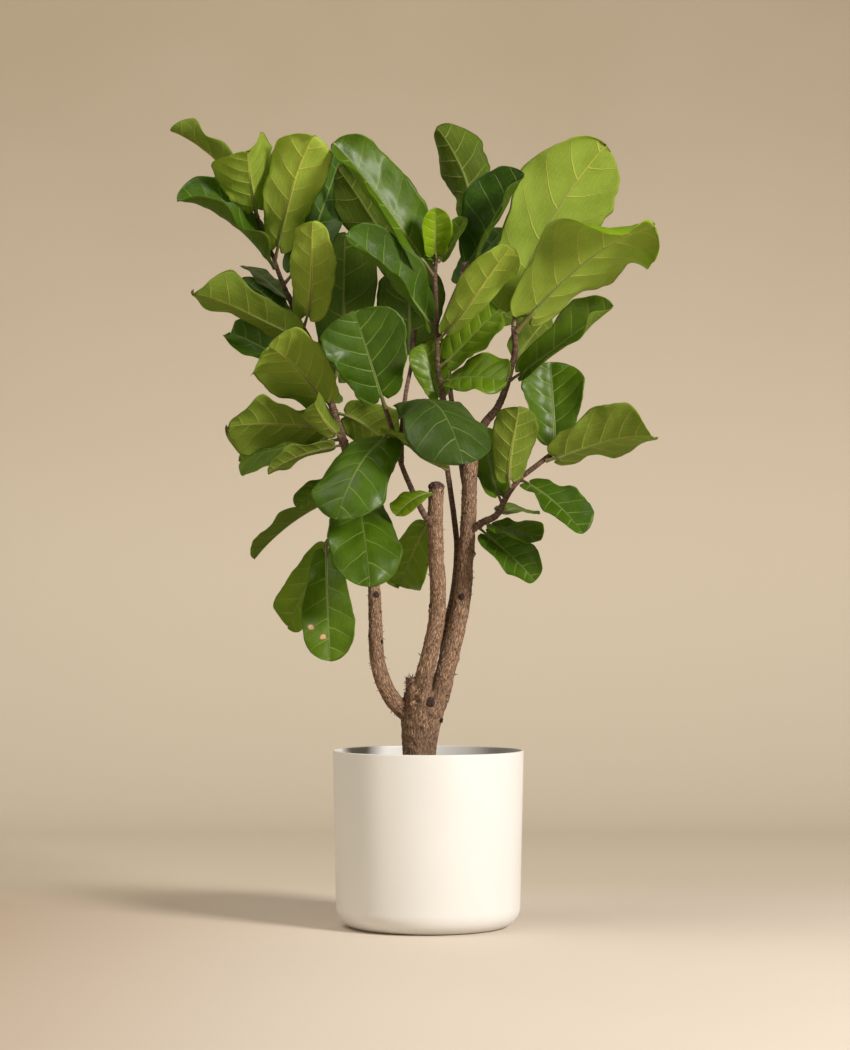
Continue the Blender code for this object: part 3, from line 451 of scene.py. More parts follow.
class Bench:
    """A node tree, with short ways to add nodes to it and join them."""

    def __init__(self, tree):
        self.tree = tree

    def plug(self, socket, value):
        if isinstance(value, Flow):
            self.tree.links.new(value.socket, socket)
        elif socket.type in ("VECTOR", "ROTATION") and isinstance(value, (int, float)):
            socket.default_value = (value, value, value)
        elif socket.type == "RGBA" and len(value) == 3:
            socket.default_value = (*value, 1.0)
        else:
            socket.default_value = value

    def add(self, kind, plugs=None, output=0, **settings):
        node = self.tree.nodes.new(kind)
        for key, value in settings.items():
            setattr(node, key, value)
        for key, value in (plugs or {}).items():
            self.plug(node.inputs[key], value)
        return Flow(self, node, output)

    def sum(self, operation, *terms):
        """A Math node, or a Vector Math node where a term is a vector."""
        vector = any(
            term.socket.type in ("VECTOR", "RGBA") if isinstance(term, Flow) else not isinstance(term, (int, float))
            for term in terms
        )
        kind = "ShaderNodeVectorMath" if vector else "ShaderNodeMath"
        output = "Value" if not vector or operation in ("DOT_PRODUCT", "LENGTH") else "Vector"
        return self.add(kind, dict(enumerate(terms)), output, operation=operation)

    def sine(self, value):
        return self.sum("SINE", value)

    def ramp(self, value, low, high, start=0.0, end=1.0, smooth=True):
        """Goes from start to end as value goes from low to high, and stays there outside."""
        plugs = {"Value": value, "From Min": low, "From Max": high, "To Min": start, "To Max": end}
        kind = "SMOOTHSTEP" if smooth else "LINEAR"
        return self.add("ShaderNodeMapRange", plugs, interpolation_type=kind)

    def mix(self, share, first, second):
        """A mix of two colours."""
        return self.add("ShaderNodeMix", {0: share, 6: first, 7: second}, 2, data_type="RGBA")

    def noise(self, place, scale, detail=3.0, roughness=0.55, output="Fac"):
        plugs = {"Vector": place, "Scale": scale, "Detail": detail, "Roughness": roughness}
        return self.add("ShaderNodeTexNoise", plugs, output)

    def cell_edges(self, place, scale):
        """How far the nearest border between two Voronoi cells is."""
        return self.add("ShaderNodeTexVoronoi", {"Vector": place, "Scale": scale}, feature="DISTANCE_TO_EDGE")

    def parts(self, vector):
        apart = self.add("ShaderNodeSeparateXYZ", {0: vector})
        return apart, apart.out(1), apart.out(2)

    def join(self, x, y, z):
        return self.add("ShaderNodeCombineXYZ", {0: x, 1: y, 2: z})

    def given(self):
        return self.add("NodeGroupInput")

    def give(self, **outputs):
        end = self.tree.nodes.new("NodeGroupOutput")
        for name, value in outputs.items():
            self.plug(end.inputs[name.replace("_", " ")], value)

    # In materials.

    def attribute(self, name, output="Vector"):
        return self.add("ShaderNodeAttribute", output=output, attribute_name=name)

    def group(self, tree, **plugs):
        return self.add("ShaderNodeGroup", {name.replace("_", " "): plugs[name] for name in plugs}, node_tree=tree)

    def bump(self, height, strength=1.0):
        return self.add("ShaderNodeBump", {"Height": height, "Distance": 1.0, "Strength": strength})

    def surface(self, colour, roughness, bump, **more):
        """A Principled surface, with more of its inputs by their names."""
        plugs = {"Base Color": colour, "Roughness": roughness, "Normal": bump}
        plugs.update({name.replace("_", " "): value for name, value in more.items()})
        return self.add("ShaderNodeBsdfPrincipled", plugs)

    def finish(self, shader):
        end = self.tree.nodes.new("ShaderNodeOutputMaterial")
        self.plug(end.inputs["Surface"], shader)

    # In geometry.

    def named(self, name, kind="FLOAT"):
        return self.add("GeometryNodeInputNamedAttribute", {"Name": name}, data_type=kind)

    def store(self, geometry, name, value, kind="FLOAT", domain="POINT"):
        plugs = {"Geometry": geometry, "Name": name, "Value": value}
        return self.add("GeometryNodeStoreNamedAttribute", plugs, data_type=kind, domain=domain)

    def remember(self, geometry, **values):
        """A geometry that also gives each of these values, by its name, as it is here."""
        kept = self.add("GeometryNodeCaptureAttribute")
        kept.node.capture_items.clear()
        for name, value in values.items():
            kept.node.capture_items.new("VECTOR" if value.socket.type == "VECTOR" else "FLOAT", name)
        for name, value in {"Geometry": geometry, **values}.items():
            self.plug(kept.node.inputs[name], value)
        return kept.out("Geometry")

    def joined(self, *pieces):
        whole = self.add("GeometryNodeJoinGeometry")
        for piece in pieces:
            self.plug(whole.node.inputs[0], piece)
        return whole

    def real(self, geometry):
        return self.add("GeometryNodeRealizeInstances", {"Geometry": geometry})

    def skinned(self, geometry, skin):
        return self.add("GeometryNodeSetMaterial", {"Geometry": geometry, "Material": skin})

    def moved(self, geometry, **plugs):
        return self.add("GeometryNodeSetPosition", {"Geometry": geometry, **plugs})

    def circle(self, sides, radius=1.0):
        return self.add("GeometryNodeCurvePrimitiveCircle", {"Resolution": sides, "Radius": radius})

    def tube(self, curve, ring, radius):
        plugs = {"Curve": curve, "Profile Curve": ring, "Scale": radius, "Fill Caps": True}
        return self.add("GeometryNodeCurveToMesh", plugs)

    def scattered(self, mesh, density, seed, **plugs):
        plugs = {"Mesh": mesh, "Density": density, "Seed": seed, **plugs}
        return self.add("GeometryNodeDistributePointsOnFaces", plugs)

    def copies(self, points, piece, rotation, scale, **plugs):
        plugs = {"Points": points, "Instance": piece, "Rotation": rotation, "Scale": scale, **plugs}
        return self.add("GeometryNodeInstanceOnPoints", plugs)

    def chance(self, low, high, seed):
        return self.add("FunctionNodeRandomValue", {2: low, 3: high, "Seed": seed}, output=1, data_type="FLOAT")

    def chance_vector(self, low, high, seed):
        return self.add("FunctionNodeRandomValue", {0: low, 1: high, "Seed": seed}, data_type="FLOAT_VECTOR")

    def tilted(self, rotation, lean, seed):
        """A rotation with a random lean, in radians, and any turn about its own axis."""
        tilt = self.chance_vector((-lean, -lean, 0.0), (lean, lean, 6.28), seed)
        turn = self.add("FunctionNodeEulerToRotation", {0: tilt})
        plugs = {"Rotation": rotation, "Rotate By": turn}
        return self.add("FunctionNodeRotateRotation", plugs, rotation_space="LOCAL")


def bench_for(name, kind, inputs, outputs):
    tree = bpy.data.node_groups.new(name, kind)
    for way, sockets in (("INPUT", inputs), ("OUTPUT", outputs)):
        for socket_name, socket_type, *value in sockets:
            made = tree.interface.new_socket(socket_name, in_out=way, socket_type="NodeSocket" + socket_type)
            if value:
                made.default_value = value[0]
    return Bench(tree)


def grower(name, *inputs):
    """A bench for a Geometry Nodes tree that takes a geometry with these inputs and gives a geometry."""
    geometry = ("Geometry", "Geometry")
    return bench_for(name, "GeometryNodeTree", [geometry, *inputs], [geometry])


def set_inputs(modifier, values):
    """Sets a Geometry Nodes modifier's inputs by their names in the tree."""
    keys = {item.name: item.identifier for item in modifier.node_group.interface.items_tree}
    for name, value in values.items():
        modifier[keys[name]] = value


def placed(name, mesh):
    made = bpy.data.objects.new(name, mesh)
    bpy.context.scene.collection.objects.link(made)
    mesh.shade_smooth()
    return made


def grown(name, data, tree, values, more=None):
    """A plain mesh object: what a Geometry Nodes tree makes of some data with the given inputs."""
    seed = bpy.data.objects.new(name + "_plan", data)
    bpy.context.scene.collection.objects.link(seed)
    modifier = seed.modifiers.new("Grow", "NODES")
    modifier.node_group = tree
    set_inputs(modifier, values)
    if more:
        more(seed)
    bpy.context.view_layer.update()
    graph = bpy.context.evaluated_depsgraph_get()
    mesh = bpy.data.meshes.new_from_object(seed.evaluated_get(graph), preserve_all_data_layers=True, depsgraph=graph)
    mesh.name = name
    bpy.data.objects.remove(seed)
    return placed(name, mesh)


def mesh_of(name, bm, skin=None):
    mesh = bpy.data.meshes.new(name)
    bm.to_mesh(mesh)
    bm.free()
    if skin:
        mesh.materials.append(skin)
    return mesh


# ---------------------------------------------------------------- effects shared by the materials

def make_blotches():
    """Soft uneven patches: a value about 0.5 all over, with the patches' size and how finely they break up."""
    bench = bench_for(
        "blotches", "ShaderNodeTree",
        [("Place", "Vector"), ("Size", "Float", 0.02), ("Fineness", "Float", 3.0), ("Contrast", "Float", 1.0)],
        [("Patches", "Float")],
    )
    get = bench.given().out
    waves = bench.noise(get("Place") / get("Size"), 1.0, get("Fineness"))
    bench.give(Patches=(waves - 0.5) * get("Contrast") + 0.5)
    return bench.tree


def vein_phase(bench, x, y, length, pairs, seed):
    """A whole number on each side vein: they leave the midrib slanting, curve to the tip, and alternate."""
    aside = abs(x)
    right = bench.sum("GREATER_THAN", x, 0.0)
    back = aside * 0.45 + aside * aside * 6.0
    return (y - back) / length * pairs + right * 0.45 + seed * 0.1


def blade_facts(bench):
    """What a leaf's mesh tells its material: aside and along the blade, its length, tone and seed, and its edge."""
    x, y, _ = bench.parts(bench.add("ShaderNodeUVMap", uv_map="blade_map"))
    length, tone, seed = bench.parts(bench.attribute("blade_facts"))
    return x, y, length, tone, seed, bench.attribute("blade_edge", "Fac")


def make_leaf_veins():
    """The midrib, the side veins that leave it in pairs, the ladder between them and the finest net."""
    bench = bench_for(
        "leaf veins", "ShaderNodeTree",
        [("Pairs", "Float", 5.5), ("Midrib width", "Float", 0.0016), ("Vein width", "Float", 0.0008)],
        [("Midrib", "Float"), ("Side veins", "Float"), ("Ladder", "Float"), ("Net", "Float"), ("Bulge", "Float")],
    )
    get = bench.given().out
    x, y, length, _, seed, edge = blade_facts(bench)
    seeded = bench.join(x, y, seed)
    aside = abs(x)
    width = get("Midrib width") * bench.ramp(y / length, 0.0, 1.0, 1.5, 0.25, smooth=False)
    midrib = bench.ramp(aside, width, width * 1.6, 1.0, 0.0)
    wobble = bench.noise(seeded, 34.0, 2.0) - 0.5
    phase = vein_phase(bench, x, y, length, get("Pairs"), seed) + wobble * 0.16
    share = bench.sum("FRACT", phase)
    away = bench.sum("MINIMUM", share, 1.0 - share) * length / get("Pairs") * 0.85
    width = get("Vein width") * bench.ramp(edge, 0.0, 1.0, 1.2, 0.35, smooth=False)
    born = bench.ramp(phase, -0.25, -0.05) * bench.ramp(edge, 0.86, 0.99, 1.0, 0.0)
    veins = bench.ramp(away, width * 0.5, width * 1.5, 1.0, 0.0) * born
    rungs = bench.sum("FRACT", aside * 135.0 + wobble * 2.4 + bench.sum("FLOOR", phase) * 0.37)
    ladder = bench.ramp(abs(rungs - 0.5), 0.03, 0.10, 1.0, 0.0) * bench.ramp(edge, 0.88, 1.0, 1.0, 0.0)
    net = bench.ramp(bench.cell_edges(seeded, 330.0), 0.02, 0.10, 1.0, 0.0)
    bulge = bench.sine(share * pi) * bench.ramp(aside, 0.0, 0.010) * bench.ramp(edge, 0.75, 1.0, 1.0, 0.2)
    bench.give(Midrib=midrib, Side_veins=veins, Ladder=ladder, Net=net, Bulge=bulge)
    return bench.tree


# ---------------------------------------------------------------- materials

def material(name):
    made = bpy.data.materials.new(name)
    made.use_nodes = True
    made.node_tree.nodes.clear()
    return made, Bench(made.node_tree)


# A leaf skin's colours at tone 0 and at tone 1: between its patches, in them, of its veins and of the light through
# it; tone 0 stands for an old dark leaf and for painted shade on leaves deep in the crown, tone 1 for a young leaf
# and for painted light on lit ones. Then the midrib's colour at its foot, how much each kind of vein shows, how high
# each stands in metres, and how the surface shines.
LEAF_SIDES = {
    "upper": dict(
        deep=((0.012, 0.040, 0.001), (0.120, 0.220, 0.002)), bright=((0.042, 0.112, 0.002), (0.260, 0.385, 0.004)),
        pale=((0.270, 0.400, 0.080), (0.420, 0.530, 0.080)), through=((0.260, 0.520, 0.010), (0.540, 0.780, 0.016)),
        midrib_foot=(0.330, 0.420, 0.110), midrib_width=0.0013, vein_width=0.00080,
        net_shows=0.10, ladder_shows=0.06, veins_show=0.55,
        body_height=1.0, midrib_height=-0.0007, veins_height=-0.00045, ladder_height=0.0, net_height=-0.00007,
        bump=0.8, roughness=(0.36, 0.50), specular=0.24, coat=0.07,
    ),
    "lower": dict(
        deep=((0.034, 0.060, 0.004), (0.290, 0.395, 0.044)), bright=((0.070, 0.116, 0.008), (0.425, 0.560, 0.082)),
        pale=((0.230, 0.280, 0.050), (0.680, 0.700, 0.130)), through=((0.260, 0.460, 0.008), (0.520, 0.780, 0.040)),
        midrib_foot=(0.300, 0.260, 0.080), midrib_width=0.0019, vein_width=0.00095,
        net_shows=0.22, ladder_shows=0.20, veins_show=0.80,
        body_height=-0.8, midrib_height=0.0012, veins_height=0.0008, ladder_height=0.00022, net_height=0.00012,
        bump=0.9, roughness=(0.52, 0.64), specular=0.10, coat=0.0,
    ),
}
# What the greens of a blue-green leaf's upper side turn to.
COOL_DEEP = (0.022, 0.046, 0.006)
COOL_BRIGHT = (0.060, 0.104, 0.018)
DRY_MARGIN = (0.120, 0.055, 0.020)
# Where the hanging leaf's two dry spots are, aside and along its blade, and the length that they are given for;
# then how far out each ring of a spot fades, from its inside to its outside, and the ring's colour.
DRY_SPOTS = [(0.027, 0.138, 0.0), (0.009, 0.155, 0.0)]
SPOTTED_LENGTH = 0.20
SPOT_RINGS = [(0.0068, 0.0092, (0.240, 0.130, 0.030)), (0.0054, 0.0074, (0.640, 0.440, 0.230))]


def leaf_skin(name, groups, side):
    """A leaf's upper or lower skin: green flesh that lets light through, under its pattern of veins."""
    look = LEAF_SIDES[side]
    made, bench = material(name)
    x, y, length, tone, seed, edge = blade_facts(bench)
    veins = bench.group(groups["veins"], Midrib_width=look["midrib_width"], Vein_width=look["vein_width"])
    midrib, side_veins, ladder, net = (veins.out(kind) for kind in ("Midrib", "Side veins", "Ladder", "Net"))
    seeded = bench.join(x, y, seed)
    blotches = bench.group(groups["blotches"], Place=seeded, Size=0.045, Contrast=1.6)
    # How far the colours go towards their tone-1 ends: the leaf's age together with painted light and shade; on the
    # lower side, raising the tone to a power paints shaded leaves darker still.
    age_and_painted_light = tone if side == "upper" else bench.sum("MAXIMUM", tone, 0.0) ** 1.6
    deep, bright, pale = (bench.mix(age_and_painted_light, *look[kind]) for kind in ("deep", "bright", "pale"))
    through = bench.mix(tone, *look["through"])
    if side == "upper":
        cool = bench.ramp(tone, -0.4, 0.0, 1.0, 0.0)
        deep = bench.mix(cool, deep, COOL_DEEP)
        bright = bench.mix(cool, bright, COOL_BRIGHT)
    flesh = bench.mix(blotches, deep, bright)
    flesh = bench.mix(net * look["net_shows"] + ladder * look["ladder_shows"], flesh, pale)
    flesh = bench.mix(side_veins * look["veins_show"], flesh, pale)
    rib = bench.mix(bench.ramp(y / length, 0.0, 0.35), look["midrib_foot"], pale)
    flesh = bench.mix(midrib * 0.9, flesh, rib)
    flesh = bench.mix(bench.ramp(edge, 0.975, 0.998) * 0.5, flesh, pale)
    dry = bench.ramp(bench.noise(seeded, 60.0, 4.0) + bench.ramp(y / length, 0.93, 1.02) * 0.42, 0.80, 0.90)
    flesh = bench.mix(dry * bench.ramp(seed, 2.0, 4.0), flesh, DRY_MARGIN)
    spotted = bench.attribute("dry_spots", "Fac")
    ragged = bench.noise(seeded, 260.0, 3.0) * 0.004
    for centre in DRY_SPOTS:
        away = bench.sum("LENGTH", bench.join(x, y / length * SPOTTED_LENGTH, 0.0) - centre) + ragged
        for inside, outside, colour in SPOT_RINGS:
            flesh = bench.mix(bench.ramp(away, inside, outside, 1.0, 0.0) * spotted, flesh, colour)
    body = (veins.out("Bulge") * 0.0007 + bench.noise(seeded, 90.0, 3.0) * 0.0009
            + bench.noise(seeded, 900.0, 2.0) * 0.00006)
    height = (body * look["body_height"] + midrib * look["midrib_height"] + side_veins * look["veins_height"]
              + ladder * look["ladder_height"] + net * look["net_height"])
    bump = bench.bump(height, look["bump"])
    rough = bench.ramp(blotches, 0.2, 0.8, *look["roughness"]) + side_veins * 0.1
    shader = bench.surface(
        flesh, rough, bump, Specular_IOR_Level=look["specular"], Coat_Weight=look["coat"], Coat_Roughness=0.16
    )
    glow = bench.mix(side_veins * 0.4 + midrib * 0.6, through, flesh)
    through_light = bench.add("ShaderNodeBsdfTranslucent", {"Color": glow, "Normal": bump})
    bench.finish(bench.add("ShaderNodeMixShader", {0: 0.30, 1: shader, 2: through_light}))
    return made


def petiole_skin(groups):
    made, bench = material("petiole")
    place = bench.add("ShaderNodeTexCoord", output="Object")
    _, far, _, tone, _, _ = blade_facts(bench)
    blotches = bench.group(groups["blotches"], Place=place, Size=0.006, Contrast=1.4)
    green = bench.mix(tone, (0.110, 0.180, 0.035), (0.260, 0.340, 0.070))
    brown = bench.mix(tone, (0.100, 0.065, 0.030), (0.210, 0.150, 0.050))
    colour = bench.mix(bench.ramp(far, -0.03, 0.015), brown, green)
    colour = bench.mix(blotches * 0.5, colour, (0.090, 0.060, 0.030))
    bump = bench.bump(bench.noise(place, 700.0, 3.0) * 0.0003)
    bench.finish(bench.surface(colour, bench.ramp(blotches, 0.0, 1.0, 0.38, 0.62), bump))
    return made


def bark_skin(groups):
    """Brown bark with fissures along the stem, paler ridges and tan flecks; twigs are smoother and darker."""
    made, bench = material("bark")
    grain = bench.attribute("grain")
    thick = bench.attribute("thickness", "Fac")
    along = grain * (1.0, 1.0, 0.22)
    ridges = bench.noise(along, 900.0, 5.0, 0.68)
    plates = bench.cell_edges(along + bench.noise(grain, 60.0, 2.0, output="Color") * 0.004, 260.0)
    cracks = bench.ramp(plates, 0.0, 0.16, 1.0, 0.0)
    rings = bench.noise(grain * (0.2, 0.2, 1.0), 420.0, 3.0)
    blotches = bench.group(groups["blotches"], Place=grain, Size=0.018, Fineness=4.0, Contrast=1.8)
    flecks = bench.ramp(bench.noise(grain * (1.0, 1.0, 0.35), 420.0, 3.0, 0.6), 0.62, 0.70)
    old = bench.mix(bench.ramp(ridges, 0.40, 0.62), (0.110, 0.056, 0.034), (0.480, 0.300, 0.180))
    old = bench.mix(cracks * 0.45, old, (0.036, 0.016, 0.011))
    old = bench.mix(bench.ramp(blotches, 0.45, 0.85) * 0.50, old, (0.120, 0.072, 0.050))
    old = bench.mix(flecks * 0.50, old, (0.600, 0.370, 0.200))
    young = bench.mix(bench.ramp(rings, 0.35, 0.65), (0.060, 0.030, 0.020), (0.170, 0.095, 0.060))
    young = bench.mix(flecks * 0.4, young, (0.340, 0.240, 0.150))
    colour = bench.mix(bench.ramp(thick, 0.0055, 0.0095), young, old)
    height = (ridges * 0.0011 - cracks * 0.0006 + rings * 0.0004 + bench.noise(grain, 1500.0, 3.0) * 0.00025
              + flecks * 0.0002)
    bench.finish(bench.surface(colour, bench.ramp(ridges, 0.2, 0.8, 0.92, 0.70), bench.bump(height)))
    return made


# Each plain material: its dark and its light colour, the size of its patches, its roughness and its bumps' height.
PLAIN_SKINS = {
    "potting_soil": ((0.012, 0.007, 0.004), (0.060, 0.036, 0.022), 0.004, 0.90, 0.0012),
    "bark_chips": ((0.050, 0.024, 0.012), (0.170, 0.090, 0.045), 0.003, 0.80, 0.0006),
    "white_grit": ((0.480, 0.460, 0.420), (0.720, 0.700, 0.660), 0.002, 0.85, 0.0004),
    "pruned_wood": ((0.030, 0.014, 0.014), (0.120, 0.062, 0.048), 0.004, 0.85, 0.0010),
    "scar_and_hollow_shade": ((0.012, 0.007, 0.005), (0.060, 0.030, 0.020), 0.003, 0.85, 0.0010),
    "bud_sheath": ((0.055, 0.020, 0.022), (0.150, 0.070, 0.045), 0.004, 0.50, 0.0004),
}


def plain_skin(name, groups):
    """Soil, its chips and grit, bare wood and the bud: two colours in patches, with a rough surface."""
    dark, light, size, rough, bumps = PLAIN_SKINS[name]
    made, bench = material(name)
    place = bench.add("ShaderNodeTexCoord", output="Object")
    blotches = bench.group(groups["blotches"], Place=place, Size=size, Fineness=5.0, Contrast=1.5)
    fine = bench.noise(place, 1.6 / size, 4.0, 0.65)
    colour = bench.mix(bench.ramp(blotches, 0.2, 0.8), dark, light)
    roughness = bench.ramp(fine, 0.2, 0.8, rough - 0.08, rough + 0.06)
    bench.finish(bench.surface(colour, roughness, bench.bump((fine + blotches) * bumps)))
    return made


def pot_skin(groups):
    """Warm white plastic with a satin face, a faint orange-peel texture and a few fine handling marks."""
    made, bench = material("pot_plastic")
    place = bench.add("ShaderNodeTexCoord", output="Object")
    _, _, height = bench.parts(place)
    blotches = bench.group(groups["blotches"], Place=place, Size=0.09, Contrast=1.2)
    colour = bench.mix(blotches, (0.705, 0.697, 0.682), (0.745, 0.738, 0.722))
    # The pot turns darker, browner and rougher in a band at its foot.
    foot_darkening = bench.ramp(height + bench.noise(place, 40.0, 3.0) * 0.02, 0.006, 0.026, 1.0, 0.0)
    colour = bench.mix(foot_darkening * 0.22, colour, (0.560, 0.500, 0.420))
    stone = bench.noise(place, 900.0, 2.0)
    peel = bench.noise(place, 180.0, 2.0)
    scuffs = bench.ramp(bench.noise(place * (1.0, 1.0, 9.0), 60.0, 6.0, 0.7), 0.63, 0.72)
    rough = bench.ramp(blotches, 0.2, 0.8, 0.36, 0.46) + scuffs * 0.08 + foot_darkening * 0.2
    bench.finish(bench.surface(colour, rough, bench.bump(peel * 0.00016 + stone * 0.00003, 0.7)))
    return made


def studio_skin():
    """Paper painted with the room's light and shade: darker to the left, in front and high up, in soft painted
    patches, and clear from behind, so it never hides the plant.
    """
    made, bench = material("studio_paper")
    place = bench.add("ShaderNodeTexCoord", output="Object")
    aside, deep, height = bench.parts(place)
    # Painted shade: the paper darkens to the left, towards the back where the floor meets the wall, and high up, and
    # soft large patches paint uneven light.
    waves = bench.noise(place, 1.6, 2.0)
    near = bench.mix(bench.ramp(aside, -1.0, 0.1), (0.430, 0.330, 0.240), (0.700, 0.620, 0.540))
    front = bench.mix(bench.ramp(deep, 0.22, 0.75), near, (0.620, 0.545, 0.440))
    colour = bench.mix(bench.ramp(height, 0.5, 2.2), front, (0.400, 0.330, 0.240))
    colour = bench.mix(bench.ramp(waves, 0.3, 0.7) * 0.12, colour, (0.60, 0.52, 0.43))
    bump = bench.bump(bench.noise(place, 700.0, 2.0) * 0.0001, 0.3)
    shader = bench.surface(colour, 0.75, bump, Specular_IOR_Level=0.2)
    behind = bench.add("ShaderNodeNewGeometry", output="Backfacing")
    clear = bench.add("ShaderNodeBsdfTransparent")
    bench.finish(bench.add("ShaderNodeMixShader", {0: behind, 1: shader, 2: clear}))
    return made


# ---------------------------------------------------------------- the leaves

# Half width of a blade along its length, as a share of the widest: narrow lobed base, slight waist, broad end.
BLADE_PLAN = [(0.0, 0.20), (0.025, 0.44), (0.07, 0.58), (0.15, 0.66), (0.26, 0.72), (0.40, 0.82), (0.55, 0.94),
              (0.68, 1.00), (0.80, 0.95), (0.89, 0.79), (0.95, 0.56), (0.985, 0.31), (1.0, 0.0)]
# How much of the rows' spacing is even, the rest being closer at both ends.
EVEN_SHARE = 0.35
# How far an outline wanders broadly and in small lobes, as shares of its half width.
WANDER, LOBING = 0.24, 0.10
# Where across a half the curl starts, and where along the blade the tip starts to wind up and is fully wound.
CURL_START, WIND_START, WIND_END = 0.2, 0.58, 0.97
# An almost flat winding, in radians, that keeps its formula defined.
LEAST_WINDING = 0.01
# The unevenness of a margin and the groove of a midrib in metres, and how far the base's lobes reach back.
MARGIN_BUMPS, GROOVE, LOBE_REACH = 0.008, 0.0006, 0.055
# A blade's rows and columns of vertices, and those of a narrow one.
BLADE_GRID, NARROW_GRID, NARROW = (73, 33), (45, 21), 0.05
# How far a petiole goes into its twig, since the solid stands a little clear of it, and how thick it is.
PETIOLE_REACH = 0.0022
PETIOLE_RADIUS, RADIUS_PER_WIDTH = 0.0011, 0.0150
# The height of the quilting, in metres, and the width of the leaf that it and the ruffles are given for.
QUILTING, USUAL_WIDTH = 0.0009, 0.1
VEIN_PAIRS = 5.5
SEED_STEP, SEED_SPAN = 0.6180339, 5.0
SPINE_STEPS = 24


def spine_at(bench, get, t):
    """The midrib's place, heading, upper side and way across at t, from 0 at its foot to 1 at its tip."""
    rest = 1.0 - t
    foot, spring, bend, tip = (get(name) for name in ("Foot", "Spring", "Bend", "Tip"))
    place = (foot * (rest * rest * rest) + spring * (rest * rest * t * 3.0) + bend * (rest * t * t * 3.0)
             + tip * (t * t * t))
    heading = (spring - foot) * (rest * rest) + (bend - spring) * (rest * t * 2.0) + (tip - bend) * (t * t)
    heading = bench.sum("NORMALIZE", heading)
    up = bench.sum("NORMALIZE", bench.sum("CROSS_PRODUCT", get("Across"), heading))
    return place, heading, up, bench.sum("CROSS_PRODUCT", heading, up)


def blade_sheet(bench, get):
    """The blade as one sheet, folded, curled, ruffled and quilted, which gives its Map, Edge and Rim."""
    grid = {"Size X": 2.0, "Size Y": 1.0, "Vertices X": get("Columns"), "Vertices Y": get("Rows")}
    sheet = bench.add("GeometryNodeMeshGrid", grid)
    u, v, _ = bench.parts(bench.add("GeometryNodeInputPosition"))
    even = v + 0.5
    eased = 0.5 - bench.sum("COSINE", even * pi) * 0.5
    v = even * EVEN_SHARE + eased * (1 - EVEN_SHARE)
    length, width, share, seed = get("Length"), get("Width"), get("Petiole share"), get("Seed")
    plan = bench.add("ShaderNodeFloatCurve", {"Value": v})
    points = plan.node.mapping.curves[0].points
    while len(points) < len(BLADE_PLAN):
        points.new(0.5, 0.5)
    for point, place in zip(points, BLADE_PLAN):
        point.location = place
    plan.node.mapping.update()
    right_side = bench.sum("GREATER_THAN", u, 0.0)
    wander = bench.noise(bench.join(v * 3.2, right_side * 7.0, seed), 1.0, 2.0) - 0.5
    lobed = bench.noise(bench.join(v * 9.0, right_side * 3.0, seed), 1.0, 1.0) - 0.5
    half = width * 0.5 * plan * ((wander * WANDER + lobed * LOBING) * get("Unevenness") + 1.0)
    half = half * ((v * -1.0 + 0.55) * get("Taper") + 1.0)
    x, y, edge = u * half, v * length, abs(u)
    aside = abs(x)
    place, heading, up, side = spine_at(bench, get, share + (1.0 - share) * v)
    right = bench.sum("MAXIMUM", u - CURL_START, 0.0)
    left = bench.sum("MAXIMUM", u * -1.0 - CURL_START, 0.0)
    curl = (right * right * get("Right curl") + left * left * get("Left curl")) * width * bench.sine(v * pi)
    winding = get("Tip roll") / (width * 0.5) * bench.ramp(v, WIND_START, WIND_END) + LEAST_WINDING
    rolled = (1.0 - bench.sum("COSINE", x * winding)) / winding
    drawn_in = bench.sine(x * winding) / winding
    beat = bench.sine(v * 11.0 + u * 1.4 + seed * 3.1) + bench.sine(v * 19.0 - u * 2.0 + seed) * 0.45
    ruffle = edge * edge * edge * get("Ruffle") * beat * bench.ramp(v, 0.0, 0.25, 0.3, 1.0)
    swell = abs(bench.sine(vein_phase(bench, x, y, length, get("Pairs"), seed) * pi))
    swell = swell * bench.ramp(aside, 0.0, 0.012) * bench.ramp(edge, 0.7, 1.0, 1.0, 0.25) * get("Quilting")
    uneven = (bench.noise(bench.join(x, y, seed), 22.0, 2.0) - 0.5) * MARGIN_BUMPS
    groove = bench.ramp(aside, 0.0, 0.006, -GROOVE, 0.0)
    lobes = bench.ramp(edge, 0.15, 0.8) * bench.ramp(v, 0.0, 0.10, 1.0, 0.0) * length * -LOBE_REACH
    rise = aside * get("Fold") + curl + rolled + ruffle + swell + uneven * edge + groove
    rim = bench.ramp(edge, 0.90, 1.0, 1.0, 0.0) * bench.ramp(v, 0.0, 0.02) * bench.ramp(v, 0.975, 1.0, 1.0, 0.0)
    facts = bench.remember(sheet, Map=bench.join(x, y, 0.0), Edge=edge, Rim=rim)
    return bench.moved(facts, Position=place + side * drawn_in + up * rise + heading * lobes), facts


def petiole_rod(bench, get):
    """The petiole, which goes on as the raised midrib under the blade."""
    share = get("Petiole share")
    rod = bench.add("GeometryNodeResampleCurve", {"Curve": bench.add("GeometryNodeCurvePrimitiveLine"), "Count": 44})
    t = bench.add("GeometryNodeSplineParameter") * 0.975
    place, _, up, _ = spine_at(bench, get, t)
    inside = bench.ramp(t, share, 1.0, 0.0, 1.0, smooth=False)
    slim = bench.ramp(inside, 0.0, 0.06, 1.0, 0.62) - bench.ramp(inside, 0.0, 1.0, 0.0, 0.52, smooth=False)
    radius = get("Petiole radius") * (slim + bench.ramp(t, 0.0, 0.05, 0.40, 0.0))
    sunk = radius * bench.ramp(t, share * 0.85, share * 1.25, 0.0, 0.90)
    rod = bench.moved(rod, Position=place - up * sunk)
    rod = bench.add("GeometryNodeSetCurveRadius", {"Curve": rod, "Radius": radius})
    reach = bench.remember(rod, Map=bench.join(0.0, (t - share) * get("Length"), 0.0))
    rod = bench.skinned(bench.tube(reach, bench.circle(10), radius), get("Petiole skin"))
    return bench.store(rod, "blade_map", reach.out("Map"), "FLOAT2", "CORNER")


